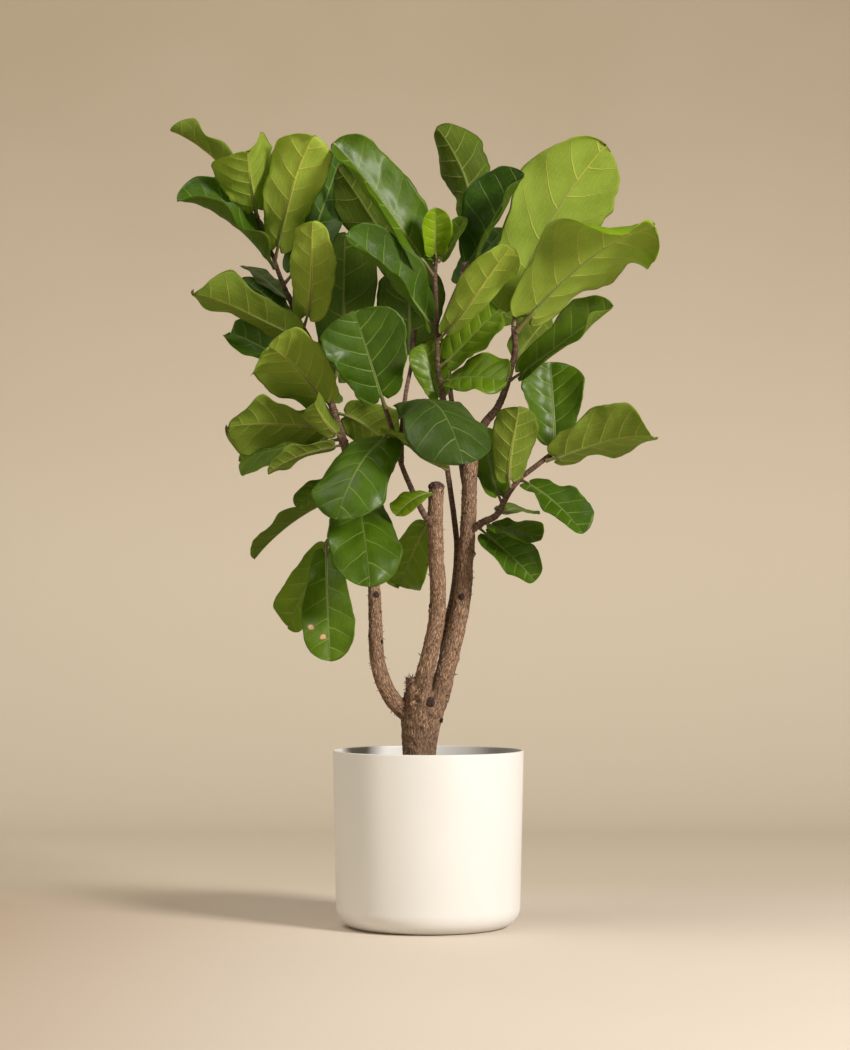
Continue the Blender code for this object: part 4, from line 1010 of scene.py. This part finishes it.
def make_blade_tree():
    """One leaf along its spine: a thin closed blade, its petiole and midrib."""
    bench = grower(
        "fiddle leaf",
        ("Foot", "Vector"), ("Spring", "Vector"), ("Bend", "Vector"), ("Tip", "Vector"), ("Across", "Vector"),
        ("Length", "Float", 0.2), ("Width", "Float", 0.1), ("Fold", "Float", 0.1), ("Left curl", "Float", 0.0),
        ("Right curl", "Float", 0.0), ("Ruffle", "Float", 0.004), ("Taper", "Float", 0.0), ("Pairs", "Float", 5.5),
        ("Tip roll", "Float", 0.0), ("Unevenness", "Float", 1.0), ("Dry spots", "Float", 0.0),
        ("Quilting", "Float", 0.0014), ("Blade thickness", "Float", 0.0009), ("Petiole share", "Float", 0.13),
        ("Petiole radius", "Float", 0.0024), ("Rows", "Int", 73), ("Columns", "Int", 33), ("Tone", "Float", 0.4),
        ("Seed", "Float", 0.0), ("Upper skin", "Material"), ("Lower skin", "Material"), ("Petiole skin", "Material"),
    )
    get = bench.given().out
    blade, facts = blade_sheet(bench, get)
    thick = bench.add("GeometryNodeInputNormal") * (get("Blade thickness") * facts.out("Rim"))
    under = bench.add("GeometryNodeFlipFaces", {0: bench.moved(blade, Offset=thick * -1.0)})
    shell = bench.joined(bench.skinned(under, get("Lower skin")), bench.skinned(blade, get("Upper skin")))
    shell = bench.add("GeometryNodeMergeByDistance", {"Geometry": shell, "Distance": 0.00002})
    shell = bench.store(shell, "blade_map", facts.out("Map"), "FLOAT2", "CORNER")
    shell = bench.store(shell, "blade_edge", facts.out("Edge"))
    whole = bench.joined(petiole_rod(bench, get), shell)
    whole = bench.store(whole, "blade_facts", bench.join(get("Length"), get("Tone"), get("Seed")), "FLOAT_VECTOR")
    whole = bench.store(whole, "dry_spots", get("Dry spots"))
    bench.give(Geometry=bench.real(whole))
    return bench.tree


def make_leaf(name, leaf, number, tree, skins):
    look = LOOKS.get(name, USUAL_LOOK)
    controls, across = settled_spine(name, leaf)
    foot, spring, bend, tip = controls
    joints = [bezier(controls, step / SPINE_STEPS)[0] for step in range(SPINE_STEPS + 1)]
    length = sum((end - start).length for start, end in zip(joints, joints[1:]))
    rows, columns = BLADE_GRID if leaf.width > NARROW else NARROW_GRID
    made = grown("leaf_" + name + "_blade", bpy.data.meshes.new(name), tree, {
        "Foot": foot - (spring - foot).normalized() * PETIOLE_REACH, "Spring": spring, "Bend": bend, "Tip": tip,
        "Across": across, "Length": length * (1 - PETIOLE_SHARE), "Width": leaf.width,
        "Fold": sin(radians(leaf.fold)),
        "Left curl": look.left_curl, "Right curl": look.right_curl, "Ruffle": look.ruffle * leaf.width / USUAL_WIDTH,
        "Quilting": QUILTING * leaf.width / USUAL_WIDTH, "Taper": look.taper, "Pairs": VEIN_PAIRS, "Tip roll": look.tip_roll,
        "Unevenness": look.unevenness, "Dry spots": 1.0 if name == "front_hanging" else 0.0,
        "Petiole share": PETIOLE_SHARE, "Petiole radius": PETIOLE_RADIUS + RADIUS_PER_WIDTH * leaf.width,
        "Tone": look.tone,
        "Seed": (number * SEED_STEP) % 1.0 * SEED_SPAN, "Rows": rows, "Columns": columns,
        "Upper skin": skins["upper"], "Lower skin": skins["lower"], "Petiole skin": skins["petiole"],
    })
    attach(made, "root")
    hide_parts("leaf_" + name)


# ---------------------------------------------------------------- the wood

THICK_STEMS = ("trunk", "left_stem", "middle_stem", "right_stem", "dead_stub")
# The broken stub's ragged body, which the dead stub's core runs through.
STUB_BODY = Twig([(-0.012, -0.014, 0.335), (-0.019, -0.021, 0.362), (-0.023, -0.020, 0.389)], (0.0190, 0.0125))
# How jagged an uneven surface is: each octave's share, how much finer it is than the last, and how many.
JAGGED = (0.8, 2.1, 4)
# The merged stems' grid, and how thick the rings of fallen leaves count as in the bark's material.
WOOD_GRID = 0.0015
SCAR_THICKNESS = 0.004


def stem_curves(name, twigs, step):
    """Poly curves along the stems' routes, with their radii."""
    curve = bpy.data.curves.new(name, "CURVE")
    curve.dimensions = "3D"
    for twig in twigs:
        route = smooth_route([Vector(point) for point in twig.route], step)
        spline = curve.splines.new("POLY")
        spline.points.add(len(route) - 1)
        for point, (place, along) in zip(spline.points, route):
            point.co = (*place, 1.0)
            point.radius = twig_radius(twig, along)
    return curve


def make_tube_tree():
    """Tubes around stems that remember where on the stem each point is: around it and along it, in metres."""
    bench = grower(
        "stems",
        ("Sides", "Int", 24), ("Skin", "Material"), ("Scars", "Float", 0.0), ("Scar spacing", "Float", 0.013),
        ("Seed", "Int", 3),
    )
    get = bench.given().out
    far = bench.add("GeometryNodeSplineParameter", output="Length")
    stem = bench.remember(get("Geometry"), Radius=bench.add("GeometryNodeInputRadius"), Far=far)
    ring = bench.remember(bench.circle(get("Sides")), Around=bench.add("GeometryNodeInputPosition"))
    wide = stem.out("Radius")
    tubes = bench.tube(stem, ring, wide)
    around_x, around_y, _ = bench.parts(ring.out("Around"))
    grain = bench.join(around_x * wide, around_y * wide, stem.out("Far"))
    knobs = (bench.noise(grain, 90.0, 3.0) - 0.5) * wide * 0.22
    tubes = bench.store(tubes, "grain", grain, "FLOAT_VECTOR")
    tubes = bench.store(tubes, "thickness", wide)
    tubes = bench.moved(tubes, Offset=bench.add("GeometryNodeInputNormal") * knobs)
    # The raised rings that fallen leaves left.
    spacing = {"Curve": stem, "Length": get("Scar spacing")}
    stops = bench.add("GeometryNodeCurveToPoints", spacing, mode="LENGTH")
    collar = bench.add("GeometryNodeCurveToMesh", {"Curve": bench.circle(14), "Profile Curve": bench.circle(5, 0.15)})
    turned = bench.tilted(stops.out("Rotation"), 0.22, get("Seed"))
    size = wide * bench.chance(0.86, 1.04, get("Seed"))
    wanted = bench.sum("GREATER_THAN", get("Scars"), 0.5)
    scars = bench.real(bench.copies(stops, collar, turned, size, Selection=wanted))
    scars = bench.store(scars, "grain", bench.add("GeometryNodeInputPosition"), "FLOAT_VECTOR")
    scars = bench.store(scars, "thickness", SCAR_THICKNESS)
    bench.give(Geometry=bench.skinned(bench.real(bench.joined(scars, tubes)), get("Skin")))
    return bench.tree


def make_bark_tree():
    """Bark relief on the merged stems, following the grain of the tubes that they were merged from."""
    bench = grower(
        "bark relief",
        ("Stems", "Object"), ("Relief", "Float", 0.0016), ("Waist", "Float", 0.0), ("Skin", "Material"),
    )
    get = bench.given().out
    stems = bench.add("GeometryNodeObjectInfo", {"Object": get("Stems")}, output="Geometry")
    place = bench.add("GeometryNodeInputPosition")
    wood = get("Geometry")
    for name, kind in (("grain", "FLOAT_VECTOR"), ("thickness", "FLOAT")):
        plugs = {"Mesh": stems, "Value": bench.named(name, kind), "Sample Position": place}
        nearest = bench.add("GeometryNodeSampleNearestSurface", plugs, data_type=kind)
        wood = bench.store(wood, name, nearest, kind)
    grain = bench.named("grain", "FLOAT_VECTOR")
    lumps = bench.noise(grain * (1.0, 1.0, 0.5), 70.0, 3.0) - 0.5
    fissures = abs(bench.noise(grain * (1.0, 1.0, 0.14), 420.0, 3.0) - 0.5)
    rings = bench.noise(grain * (0.1, 0.1, 1.0), 190.0, 2.0) - 0.5
    relief = lumps * 2.4 + bench.ramp(fissures, 0.0, 0.09, -0.45, 0.0) + rings * 0.8
    _, _, height = bench.parts(place)
    waist = bench.ramp(height, 0.262, 0.350, 1.0, 0.0) * get("Waist")
    wood = bench.moved(wood, Offset=bench.add("GeometryNodeInputNormal") * (relief * get("Relief") - waist))
    bench.give(Geometry=bench.skinned(bench.real(wood), get("Skin")))
    return bench.tree


# Knots and short dead spurs: the stem, how far along, the way it points, its radius and how far it stands out.
KNOTS = [
    ("trunk", 0.80, (0.1, -1.0, 0.2), 0.0075, 0.003),
    ("trunk", 0.93, (-0.5, -0.8, 0.1), 0.0085, 0.006),
    ("trunk", 0.55, (0.9, -0.5, 0.0), 0.0060, 0.001),
    ("left_stem", 0.36, (0.6, -0.8, 0.1), 0.0050, 0.003),
    ("left_stem", 0.58, (-0.8, -0.6, 0.1), 0.0045, 0.003),
    ("left_stem", 0.78, (0.9, -0.4, 0.2), 0.0040, 0.003),
    ("middle_stem", 0.20, (-0.6, -0.8, 0.2), 0.0065, 0.004),
    ("middle_stem", 0.46, (-0.9, -0.4, 0.2), 0.0050, 0.003),
    ("middle_stem", 0.66, (0.8, -0.6, 0.1), 0.0045, 0.003),
    ("middle_stem", 0.86, (-0.7, -0.7, 0.1), 0.0050, 0.003),
    ("right_stem", 0.22, (0.9, -0.5, 0.1), 0.0065, 0.004),
    ("right_stem", 0.42, (-0.5, -0.9, 0.1), 0.0055, 0.003),
    ("right_stem", 0.60, (0.9, -0.4, 0.2), 0.0050, 0.004),
    ("right_stem", 0.78, (0.2, -1.0, 0.1), 0.0050, 0.003),
    ("right_stem", 0.50, (0.3, 1.0, 0.1), 0.0055, 0.003),
    ("trunk", 0.72, (-0.3, 1.0, 0.1), 0.0080, 0.003),
    ("trunk", 0.99, (-0.2, -1.0, 0.0), 0.0090, 0.004),
    ("trunk", 0.90, (0.45, -1.0, 0.0), 0.0060, 0.004),
]

# Hollows where twigs died back, made as dark lumps whose colour is both the dead wood's and painted shade for the
# hollow's depth: the stem, how far along, the way each faces and its radius.
HOLLOWS = [
    ("left_stem", 0.50, (0.35, -1.0, 0.0), 0.0042),
    ("left_stem", 0.36, (-1.0, -0.5, 0.0), 0.0030),
    ("left_stem", 0.34, (0.9, -0.6, 0.0), 0.0028),
    ("middle_stem", 0.48, (-1.0, -0.5, 0.0), 0.0034),
    ("middle_stem", 0.30, (0.6, 1.0, 0.0), 0.0036),
    ("right_stem", 0.44, (-0.1, -1.0, 0.0), 0.0042),
    ("right_stem", 0.70, (0.8, -0.5, 0.0), 0.0032),
    ("right_stem", 0.30, (0.4, 1.0, 0.0), 0.0040),
    ("trunk", 0.975, (0.30, -1.0, 0.0), 0.0058),
    ("trunk", 0.86, (0.95, -0.4, 0.0), 0.0030),
]


def out_of_stem(stem, along, way):
    """A place on a stem's axis, the way straight out of the stem nearest to the given one, and the stem's radius."""
    axis, direction, radius = twig_at(stem, along)
    way = Vector(way)
    return axis, (way - direction * way.dot(direction)).normalized(), radius


def facing(place, way):
    return Matrix.Translation(place) @ way.to_track_quat("Z", "Y").to_matrix().to_4x4()


def add_ragged_ball(bm, fineness, size, roughness, bumps, offset, stand):
    """A ball stretched to a size, with an uneven surface, moved and turned to its stand."""
    verts = bmesh.ops.create_icosphere(bm, subdivisions=fineness, radius=1.0)["verts"]
    for vert in verts:
        ragged = 1.0 + roughness * noise.fractal(vert.co * bumps + offset, *JAGGED)
        vert.co = Vector([part * reach for part, reach in zip(vert.co, size)]) * ragged
    bmesh.ops.transform(bm, matrix=stand, verts=verts)


def make_hollows(skin):
    bm = bmesh.new()
    for stem, along, way, radius in HOLLOWS:
        axis, way, stem_radius = out_of_stem(stem, along, way)
        size = (radius, radius * 1.25, radius * 0.42)
        # Each lump's dark colour is the dead wood's colour and painted shade for the hollow.
        add_ragged_ball(bm, 4, size, 0.35, 2.4, axis * 40, facing(axis + way * (stem_radius + 0.0002), way))
    return placed("twig_scars", mesh_of("twig_scars", bm, skin))


def make_pruned_top(skin):
    """The dark callus over the middle stem's pruned end."""
    axis, direction, radius = twig_at("middle_stem", 1.0)
    bm = bmesh.new()
    add_ragged_ball(bm, 5, (radius * 1.02, radius * 1.02, 0.008), 0.16, 2.6, Vector(), facing(axis, direction))
    return placed("pruned_top", mesh_of("pruned_top", bm, skin))


def make_bristle_tree():
    """Splinters that stand out of a stem."""
    bench = grower(
        "splinters",
        ("Splinters", "Float", 60000.0), ("Length", "Float", 0.008), ("Thickness", "Float", 0.0006),
        ("Girth", "Float", 1.0), ("Seed", "Int", 5), ("Skin", "Material"),
    )
    get = bench.given().out
    girth = bench.add("GeometryNodeInputRadius") * get("Girth")
    roots = bench.scattered(bench.tube(get("Geometry"), bench.circle(8), girth), get("Splinters"), get("Seed"))
    cone = {"Vertices": 5, "Radius Top": 0.0, "Radius Bottom": get("Thickness"), "Depth": get("Length")}
    turned = bench.tilted(roots.out("Rotation"), 0.8, get("Seed"))
    size = bench.chance(0.35, 1.0, get("Seed"))
    spikes = bench.real(bench.copies(roots, bench.add("GeometryNodeMeshCone", cone), turned, size))
    spikes = bench.store(spikes, "grain", bench.add("GeometryNodeInputPosition"), "FLOAT_VECTOR")
    bench.give(Geometry=bench.skinned(spikes, get("Skin")))
    return bench.tree


def merge_first(seed):
    """Merges the stems into one skin before the bark is grown on it."""
    merge = seed.modifiers.new("Merge", "REMESH")
    merge.voxel_size = WOOD_GRID
    merge.use_smooth_shade = True
    seed.modifiers.new("Ease", "SMOOTH").iterations = 3
    seed.modifiers.move(0, 2)


def make_wood(skins):
    def curves(name, stems, step):
        return stem_curves(name, [TWIGS[stem] for stem in stems], step)

    bark = {"Skin": skins["bark"]}
    tube_tree, splinters = make_tube_tree(), make_bristle_tree()
    core = stem_curves("thick_stems", [TWIGS[stem] for stem in THICK_STEMS] + [STUB_BODY], 0.004)
    stems = grown("thick_stems", core, tube_tree, {"Sides": 40, "Scars": 0.0, **bark})
    bm = bmesh.new()
    bm.from_mesh(stems.data)
    for stem, along, way, radius, proud in KNOTS:
        axis, way, stem_radius = out_of_stem(stem, along, way)
        stand = Matrix.Translation(axis + way * (stem_radius + proud - radius))
        bmesh.ops.create_icosphere(bm, subdivisions=3, radius=radius, matrix=stand)
    merged = mesh_of("merged_stems", bm)
    stems.hide_render = True
    relief = {"Stems": stems, "Relief": 0.0015, "Waist": 0.0080, **bark}
    wood = grown("trunk_and_stems", merged, make_bark_tree(), relief, merge_first)
    bpy.data.objects.remove(stems)
    slim = curves("twigs", [name for name in TWIGS if name not in THICK_STEMS], 0.003)
    twigs = grown("twigs", slim, tube_tree, {"Sides": 16, "Scars": 1.0, **bark})
    cap = make_pruned_top(skins["pruned_wood"])
    rough = {"Splinters": 46000.0, "Length": 0.0110, "Thickness": 0.0010, "Girth": 1.02, **bark}
    bristles = grown("stub_bristles", stem_curves("stub", [STUB_BODY], 0.004), splinters, rough)
    sparse = {"Splinters": 4200.0, "Length": 0.0075, "Thickness": 0.0010, "Girth": 1.0, "Seed": 8, **bark}
    spurs = grown("stem_spurs", curves("spurs", ("left_stem", "middle_stem", "right_stem"), 0.006), splinters, sparse)
    for piece in (wood, twigs, cap, bristles, spurs, make_hollows(skins["scar_and_hollow_shade"])):
        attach(piece, "root")
        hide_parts("trunk_and_branches")


# ---------------------------------------------------------------- the pot, the soil and the bud

# The pot, in metres: how much less its radius is low down, its foot's rounding, its wall, its floor's height and
# its lip's rounding.
POT_DRAFT, POT_FOOT, POT_WALL, POT_FLOOR, POT_LIP = 0.0055, 0.032, 0.0042, 0.007, 0.0018
POT_SIDES = 192

# The soil's surface, in metres: its height at the pot's wall, how much higher it is at the trunk, its lumps, the
# radius of its hole, its gap to the wall, and where crumbs may lie.
SOIL_EDGE, SOIL_MOUND, SOIL_LUMPS = 0.2315, 0.0085, 0.0022
SOIL_HOLE, SOIL_GAP = 0.020, 0.0006
CRUMB_HEIGHT, CRUMB_TRUNK_GAP, CRUMB_WALL_GAP = 0.225, 0.0265, 0.004
SOIL_RINGS, SOIL_SIDES = 56, 128
# How far the surface stays under the solid's top; how much slimmer the body is at its foot, and that foot's and
# its middle's height.
SOIL_TOP_GAP, SOIL_SLIMMER, SOIL_FOOT, SOIL_BOTTOM = 0.0008, 0.97, 0.040, 0.012


def arc(centre, radius, start, end, steps):
    angles = [radians(start + (end - start) * step / steps) for step in range(steps + 1)]
    return [(centre[0] + radius * cos(angle), centre[1] + radius * sin(angle)) for angle in angles]


def around(side, sides):
    """The unit vector to one of the sides of a circle."""
    angle = 2 * pi * side / sides
    return Vector((cos(angle), sin(angle), 0))


def make_pot(skin):
    low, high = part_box("pot")
    rim, tall = 0.5 * (high[0] - low[0]), high[2]
    foot_axis = rim - POT_DRAFT - POT_FOOT
    inner_foot = POT_FOOT - POT_WALL
    profile = [(0.0, POT_FLOOR), (0.05, POT_FLOOR), (0.09, POT_FLOOR)]
    profile += arc((foot_axis, POT_FLOOR + inner_foot), inner_foot, -90, 0, 12)
    profile += arc((rim - POT_WALL + POT_LIP, tall - POT_LIP), POT_LIP, 180, 90, 6)
    profile += arc((rim - POT_LIP, tall - POT_LIP), POT_LIP, 90, 0, 6)
    profile += arc((foot_axis, POT_FOOT), POT_FOOT, 0, -90, 16)
    profile += [(0.08, 0.0), (0.04, 0.0), (0.0, 0.0)]
    bm = bmesh.new()
    points = [bm.verts.new((radius, 0.0, height)) for radius, height in profile]
    for start, end in zip(points, points[1:]):
        bm.edges.new((start, end))
    pot = placed("pot_tub", mesh_of("pot_tub", bm))
    screw = pot.modifiers.new("Turn", "SCREW")
    screw.steps = screw.render_steps = POT_SIDES
    screw.use_merge_vertices = True
    screw.merge_threshold = 0.0001
    bpy.context.view_layer.update()
    turned = bpy.data.meshes.new_from_object(pot.evaluated_get(bpy.context.evaluated_depsgraph_get()))
    pot.modifiers.clear()
    pot.data = turned
    bm = bmesh.new()
    bm.from_mesh(turned)
    bmesh.ops.remove_doubles(bm, verts=bm.verts, dist=1e-5)
    bmesh.ops.recalc_face_normals(bm, faces=bm.faces)
    bm.to_mesh(turned)
    bm.free()
    turned.shade_smooth()
    turned.materials.append(skin)
    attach(pot, "root")
    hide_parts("pot")


# What is strewn over the soil: its input for how much, its skin, its shape, its size and how finely it is made, and
# the most that it turns about each axis.
STREWN = [
    ("Crumbs", "Soil skin", (1.0, 0.9, 0.7), 1.0, 1, (6.3, 6.3, 6.3)),
    ("Chips", "Chip skin", (2.6, 1.5, 0.5), 1.1, 2, (0.5, 0.5, 6.3)),
    ("Grit", "Grit skin", (1.0, 1.0, 0.9), 0.75, 2, (6.3, 6.3, 6.3)),
]


def make_soil_tree():
    """Crumbs, bark chips and white grit strewn over the soil, clear of the trunk."""
    bench = grower(
        "soil crumbs",
        ("Crumb size", "Float", 0.0022), ("Crumbs", "Float", 60000.0), ("Chips", "Float", 5200.0),
        ("Grit", "Float", 3000.0), ("Seed", "Int", 11), ("Soil skin", "Material"), ("Chip skin", "Material"),
        ("Grit skin", "Material"),
    )
    get = bench.given().out
    layers = [bench.skinned(get("Geometry"), get("Soil skin"))]
    for density, skin, shape, size, fineness, most_turn in STREWN:
        strewn = bench.scattered(get("Geometry"), get(density), get("Seed"), Selection=bench.named("open_top"))
        lump = bench.add("GeometryNodeMeshIcoSphere", {"Radius": 0.5, "Subdivisions": fineness})
        lump = bench.add("GeometryNodeTransform", {"Geometry": lump, "Scale": shape})
        turn = bench.chance_vector((0.0, 0.0, 0.0), most_turn, get("Seed"))
        scale = bench.chance(0.5, 1.6, get("Seed")) * get("Crumb size") * size
        layers.append(bench.skinned(bench.copies(strewn, lump, turn, scale), get(skin)))
    bench.give(Geometry=bench.real(bench.joined(*layers)))
    return bench.tree


def make_soil(skins):
    """The soil's top with its crumbs; its body under the surface is a plain turned shape."""
    low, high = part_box("potting_soil")
    reach = 0.5 * (high[0] - low[0]) - SOIL_GAP
    trunk_axis = twig_at("trunk", 0.45)[0]
    middle = Vector((trunk_axis.x, trunk_axis.y, 0))
    bm = bmesh.new()
    rows = []
    for ring in range(SOIL_RINGS + 1):
        share = ring / SOIL_RINGS
        row = []
        for side in range(SOIL_SIDES):
            outwards = around(side, SOIL_SIDES) * (SOIL_HOLE + (reach - SOIL_HOLE) * share)
            place = middle.lerp(Vector(), share) + outwards
            lumps = noise.fractal(place * 55, 0.8, 2.2, 4) * SOIL_LUMPS
            height = SOIL_EDGE + SOIL_MOUND * (1 - share * share) + lumps * (1 - share ** 8)
            row.append(bm.verts.new((place.x, place.y, min(height, high[2] - SOIL_TOP_GAP))))
        rows.append(row)
    foot = [bm.verts.new((*(vert.co.xy * SOIL_SLIMMER), SOIL_FOOT)) for vert in rows[-1]]
    rows.append(foot)
    centre_top = bm.verts.new((trunk_axis.x, trunk_axis.y, SOIL_EDGE))
    centre_low = bm.verts.new((0, 0, SOIL_BOTTOM))
    for side in range(SOIL_SIDES):
        after = (side + 1) % SOIL_SIDES
        bm.faces.new((centre_top, rows[0][side], rows[0][after]))
        for inner, outer in zip(rows, rows[1:]):
            bm.faces.new((inner[side], outer[side], outer[after], inner[after]))
        bm.faces.new((centre_low, foot[after], foot[side]))
    bmesh.ops.recalc_face_normals(bm, faces=bm.faces)
    mesh = mesh_of("soil_top", bm)
    top = mesh.attributes.new("open_top", "FLOAT", "POINT")
    for vertex in mesh.vertices:
        place = vertex.co.xy
        clear = (place - trunk_axis.xy).length > CRUMB_TRUNK_GAP and place.length < reach - CRUMB_WALL_GAP
        top.data[vertex.index].value = 1.0 if clear and vertex.co.z > CRUMB_HEIGHT else 0.0
    soil = grown("soil_and_crumbs", mesh, make_soil_tree(), {
        "Soil skin": skins["potting_soil"], "Chip skin": skins["bark_chips"], "Grit skin": skins["white_grit"],
    })
    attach(soil, "root")
    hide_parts("potting_soil")


BUD_STEPS, BUD_SIDES, BUD_LENGTH, BUD_LIFT = 26, 24, 0.0300, 0.0004


def make_bud(skin):
    """The pointed sheath: two overlapping scales wrapped round each other."""
    axis, direction, radius = twig_at("thin_stem", 1.0)
    bm = bmesh.new()
    rows = []
    for step in range(BUD_STEPS + 1):
        share = step / BUD_STEPS
        wide = radius * (0.86 + 0.16 * sin(pi * min(share * 1.8, 1.0))) * (1 - share ** 2.2) + 0.0003
        middle = Vector((0.0016 * share * share, -0.0010 * share * share, share * BUD_LENGTH + BUD_LIFT))
        row = []
        for side in range(BUD_SIDES):
            wrap = 1.0 + 0.10 * ((side / BUD_SIDES + share * 0.35) % 1.0)
            row.append(bm.verts.new(around(side, BUD_SIDES) * wide * wrap + middle))
        rows.append(row)
    for inner, outer in zip(rows, rows[1:]):
        for side in range(BUD_SIDES):
            after = (side + 1) % BUD_SIDES
            bm.faces.new((inner[side], inner[after], outer[after], outer[side]))
    bm.faces.new(rows[0][::-1])
    bm.faces.new(rows[-1])
    bmesh.ops.recalc_face_normals(bm, faces=bm.faces)
    bmesh.ops.transform(bm, matrix=facing(axis, direction), verts=bm.verts)
    bud = placed("bud_sheath", mesh_of("bud_sheath", bm, skin))
    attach(bud, "root")
    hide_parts("terminal_bud")


# ---------------------------------------------------------------- the studio

# Where the floor begins to bend up into the wall, and how gently.
WALL_START, WALL_BEND, WALL_TOP = 1.7, 1.0, 4.5
FLOOR_FRONT, FLOOR_SIDE = -4.6, 5.0

# Each light: where it stands, where it points, its size in metres, its power in watts and its colour.
LIGHTS = {
    "key": ((2.9, -2.7, 2.3), (0.0, 0.0, 0.70), 1.00, 236.0, (1.0, 0.95, 0.88)),
    "fill": ((-2.6, -3.6, 1.5), (0.0, 0.0, 0.6), 3.0, 5.0, (1.0, 0.93, 0.80)),
    "floor_bounce": ((-1.7, -1.3, 0.20), (0.0, 0.0, 0.16), 0.9, 9.5, (1.0, 0.86, 0.60)),
    "wall": ((-1.6, -0.3, 3.4), (-0.9, 2.6, 0.5), 2.4, 66.0, (1.0, 0.95, 0.86)),
}
WORLD_COLOUR, WORLD_STRENGTH = (1.0, 0.90, 0.74, 1.0), 0.125


def make_studio():
    """A pale floor that curves up into a wall, one large light, one on the wall and two weak ones."""
    profile = [(FLOOR_FRONT, 0.0), (WALL_START, 0.0)]
    profile += arc((WALL_START, WALL_BEND), WALL_BEND, -85, 0, 17)
    profile += [(WALL_START + WALL_BEND, WALL_TOP)]
    bm = bmesh.new()
    rows = [[bm.verts.new((x, y, z)) for x in (-FLOOR_SIDE, FLOOR_SIDE)] for y, z in profile]
    for low, high in zip(rows, rows[1:]):
        bm.faces.new((low[0], low[1], high[1], high[0]))
    mesh = mesh_of("studio_backdrop", bm, studio_skin())
    placed("studio_backdrop", mesh)
    for name, (place, aim, size, power, colour) in LIGHTS.items():
        light = bpy.data.lights.new(name, "AREA")
        light.shape = "SQUARE"
        light.size, light.energy, light.color = size, power, colour
        made = bpy.data.objects.new(name, light)
        made.location = place
        made.rotation_euler = (Vector(aim) - Vector(place)).to_track_quat("-Z", "Y").to_euler()
        bpy.context.scene.collection.objects.link(made)
    world = bpy.data.worlds.new("studio")
    world.use_nodes = True
    background = world.node_tree.nodes["Background"].inputs
    background["Color"].default_value = WORLD_COLOUR
    background["Strength"].default_value = WORLD_STRENGTH
    bpy.context.scene.world = world
    bpy.context.scene.view_settings.view_transform = "Standard"


def make_camera():
    camera = bpy.data.cameras.new("camera")
    camera.lens = 85
    camera.sensor_width = 36
    made = bpy.data.objects.new("camera", camera)
    made.location = (-0.005, -3.91, 0.477)
    made.rotation_euler = (radians(92.23), 0.0, 0.0)
    bpy.context.scene.collection.objects.link(made)
    bpy.context.scene.camera = made


def main():
    make_camera()
    make_studio()
    groups = {"blotches": make_blotches(), "veins": make_leaf_veins()}
    skins = {side: leaf_skin("leaf_%s_skin" % side, groups, side) for side in LEAF_SIDES}
    skins["petiole"] = petiole_skin(groups)
    skins["bark"] = bark_skin(groups)
    skins.update({name: plain_skin(name, groups) for name in PLAIN_SKINS})
    make_pot(pot_skin(groups))
    make_soil(skins)
    make_wood(skins)
    make_bud(skins["bud_sheath"])
    tree = make_blade_tree()
    for number, (name, leaf) in enumerate(LEAVES.items()):
        make_leaf(name, leaf, number, tree, skins)


main()
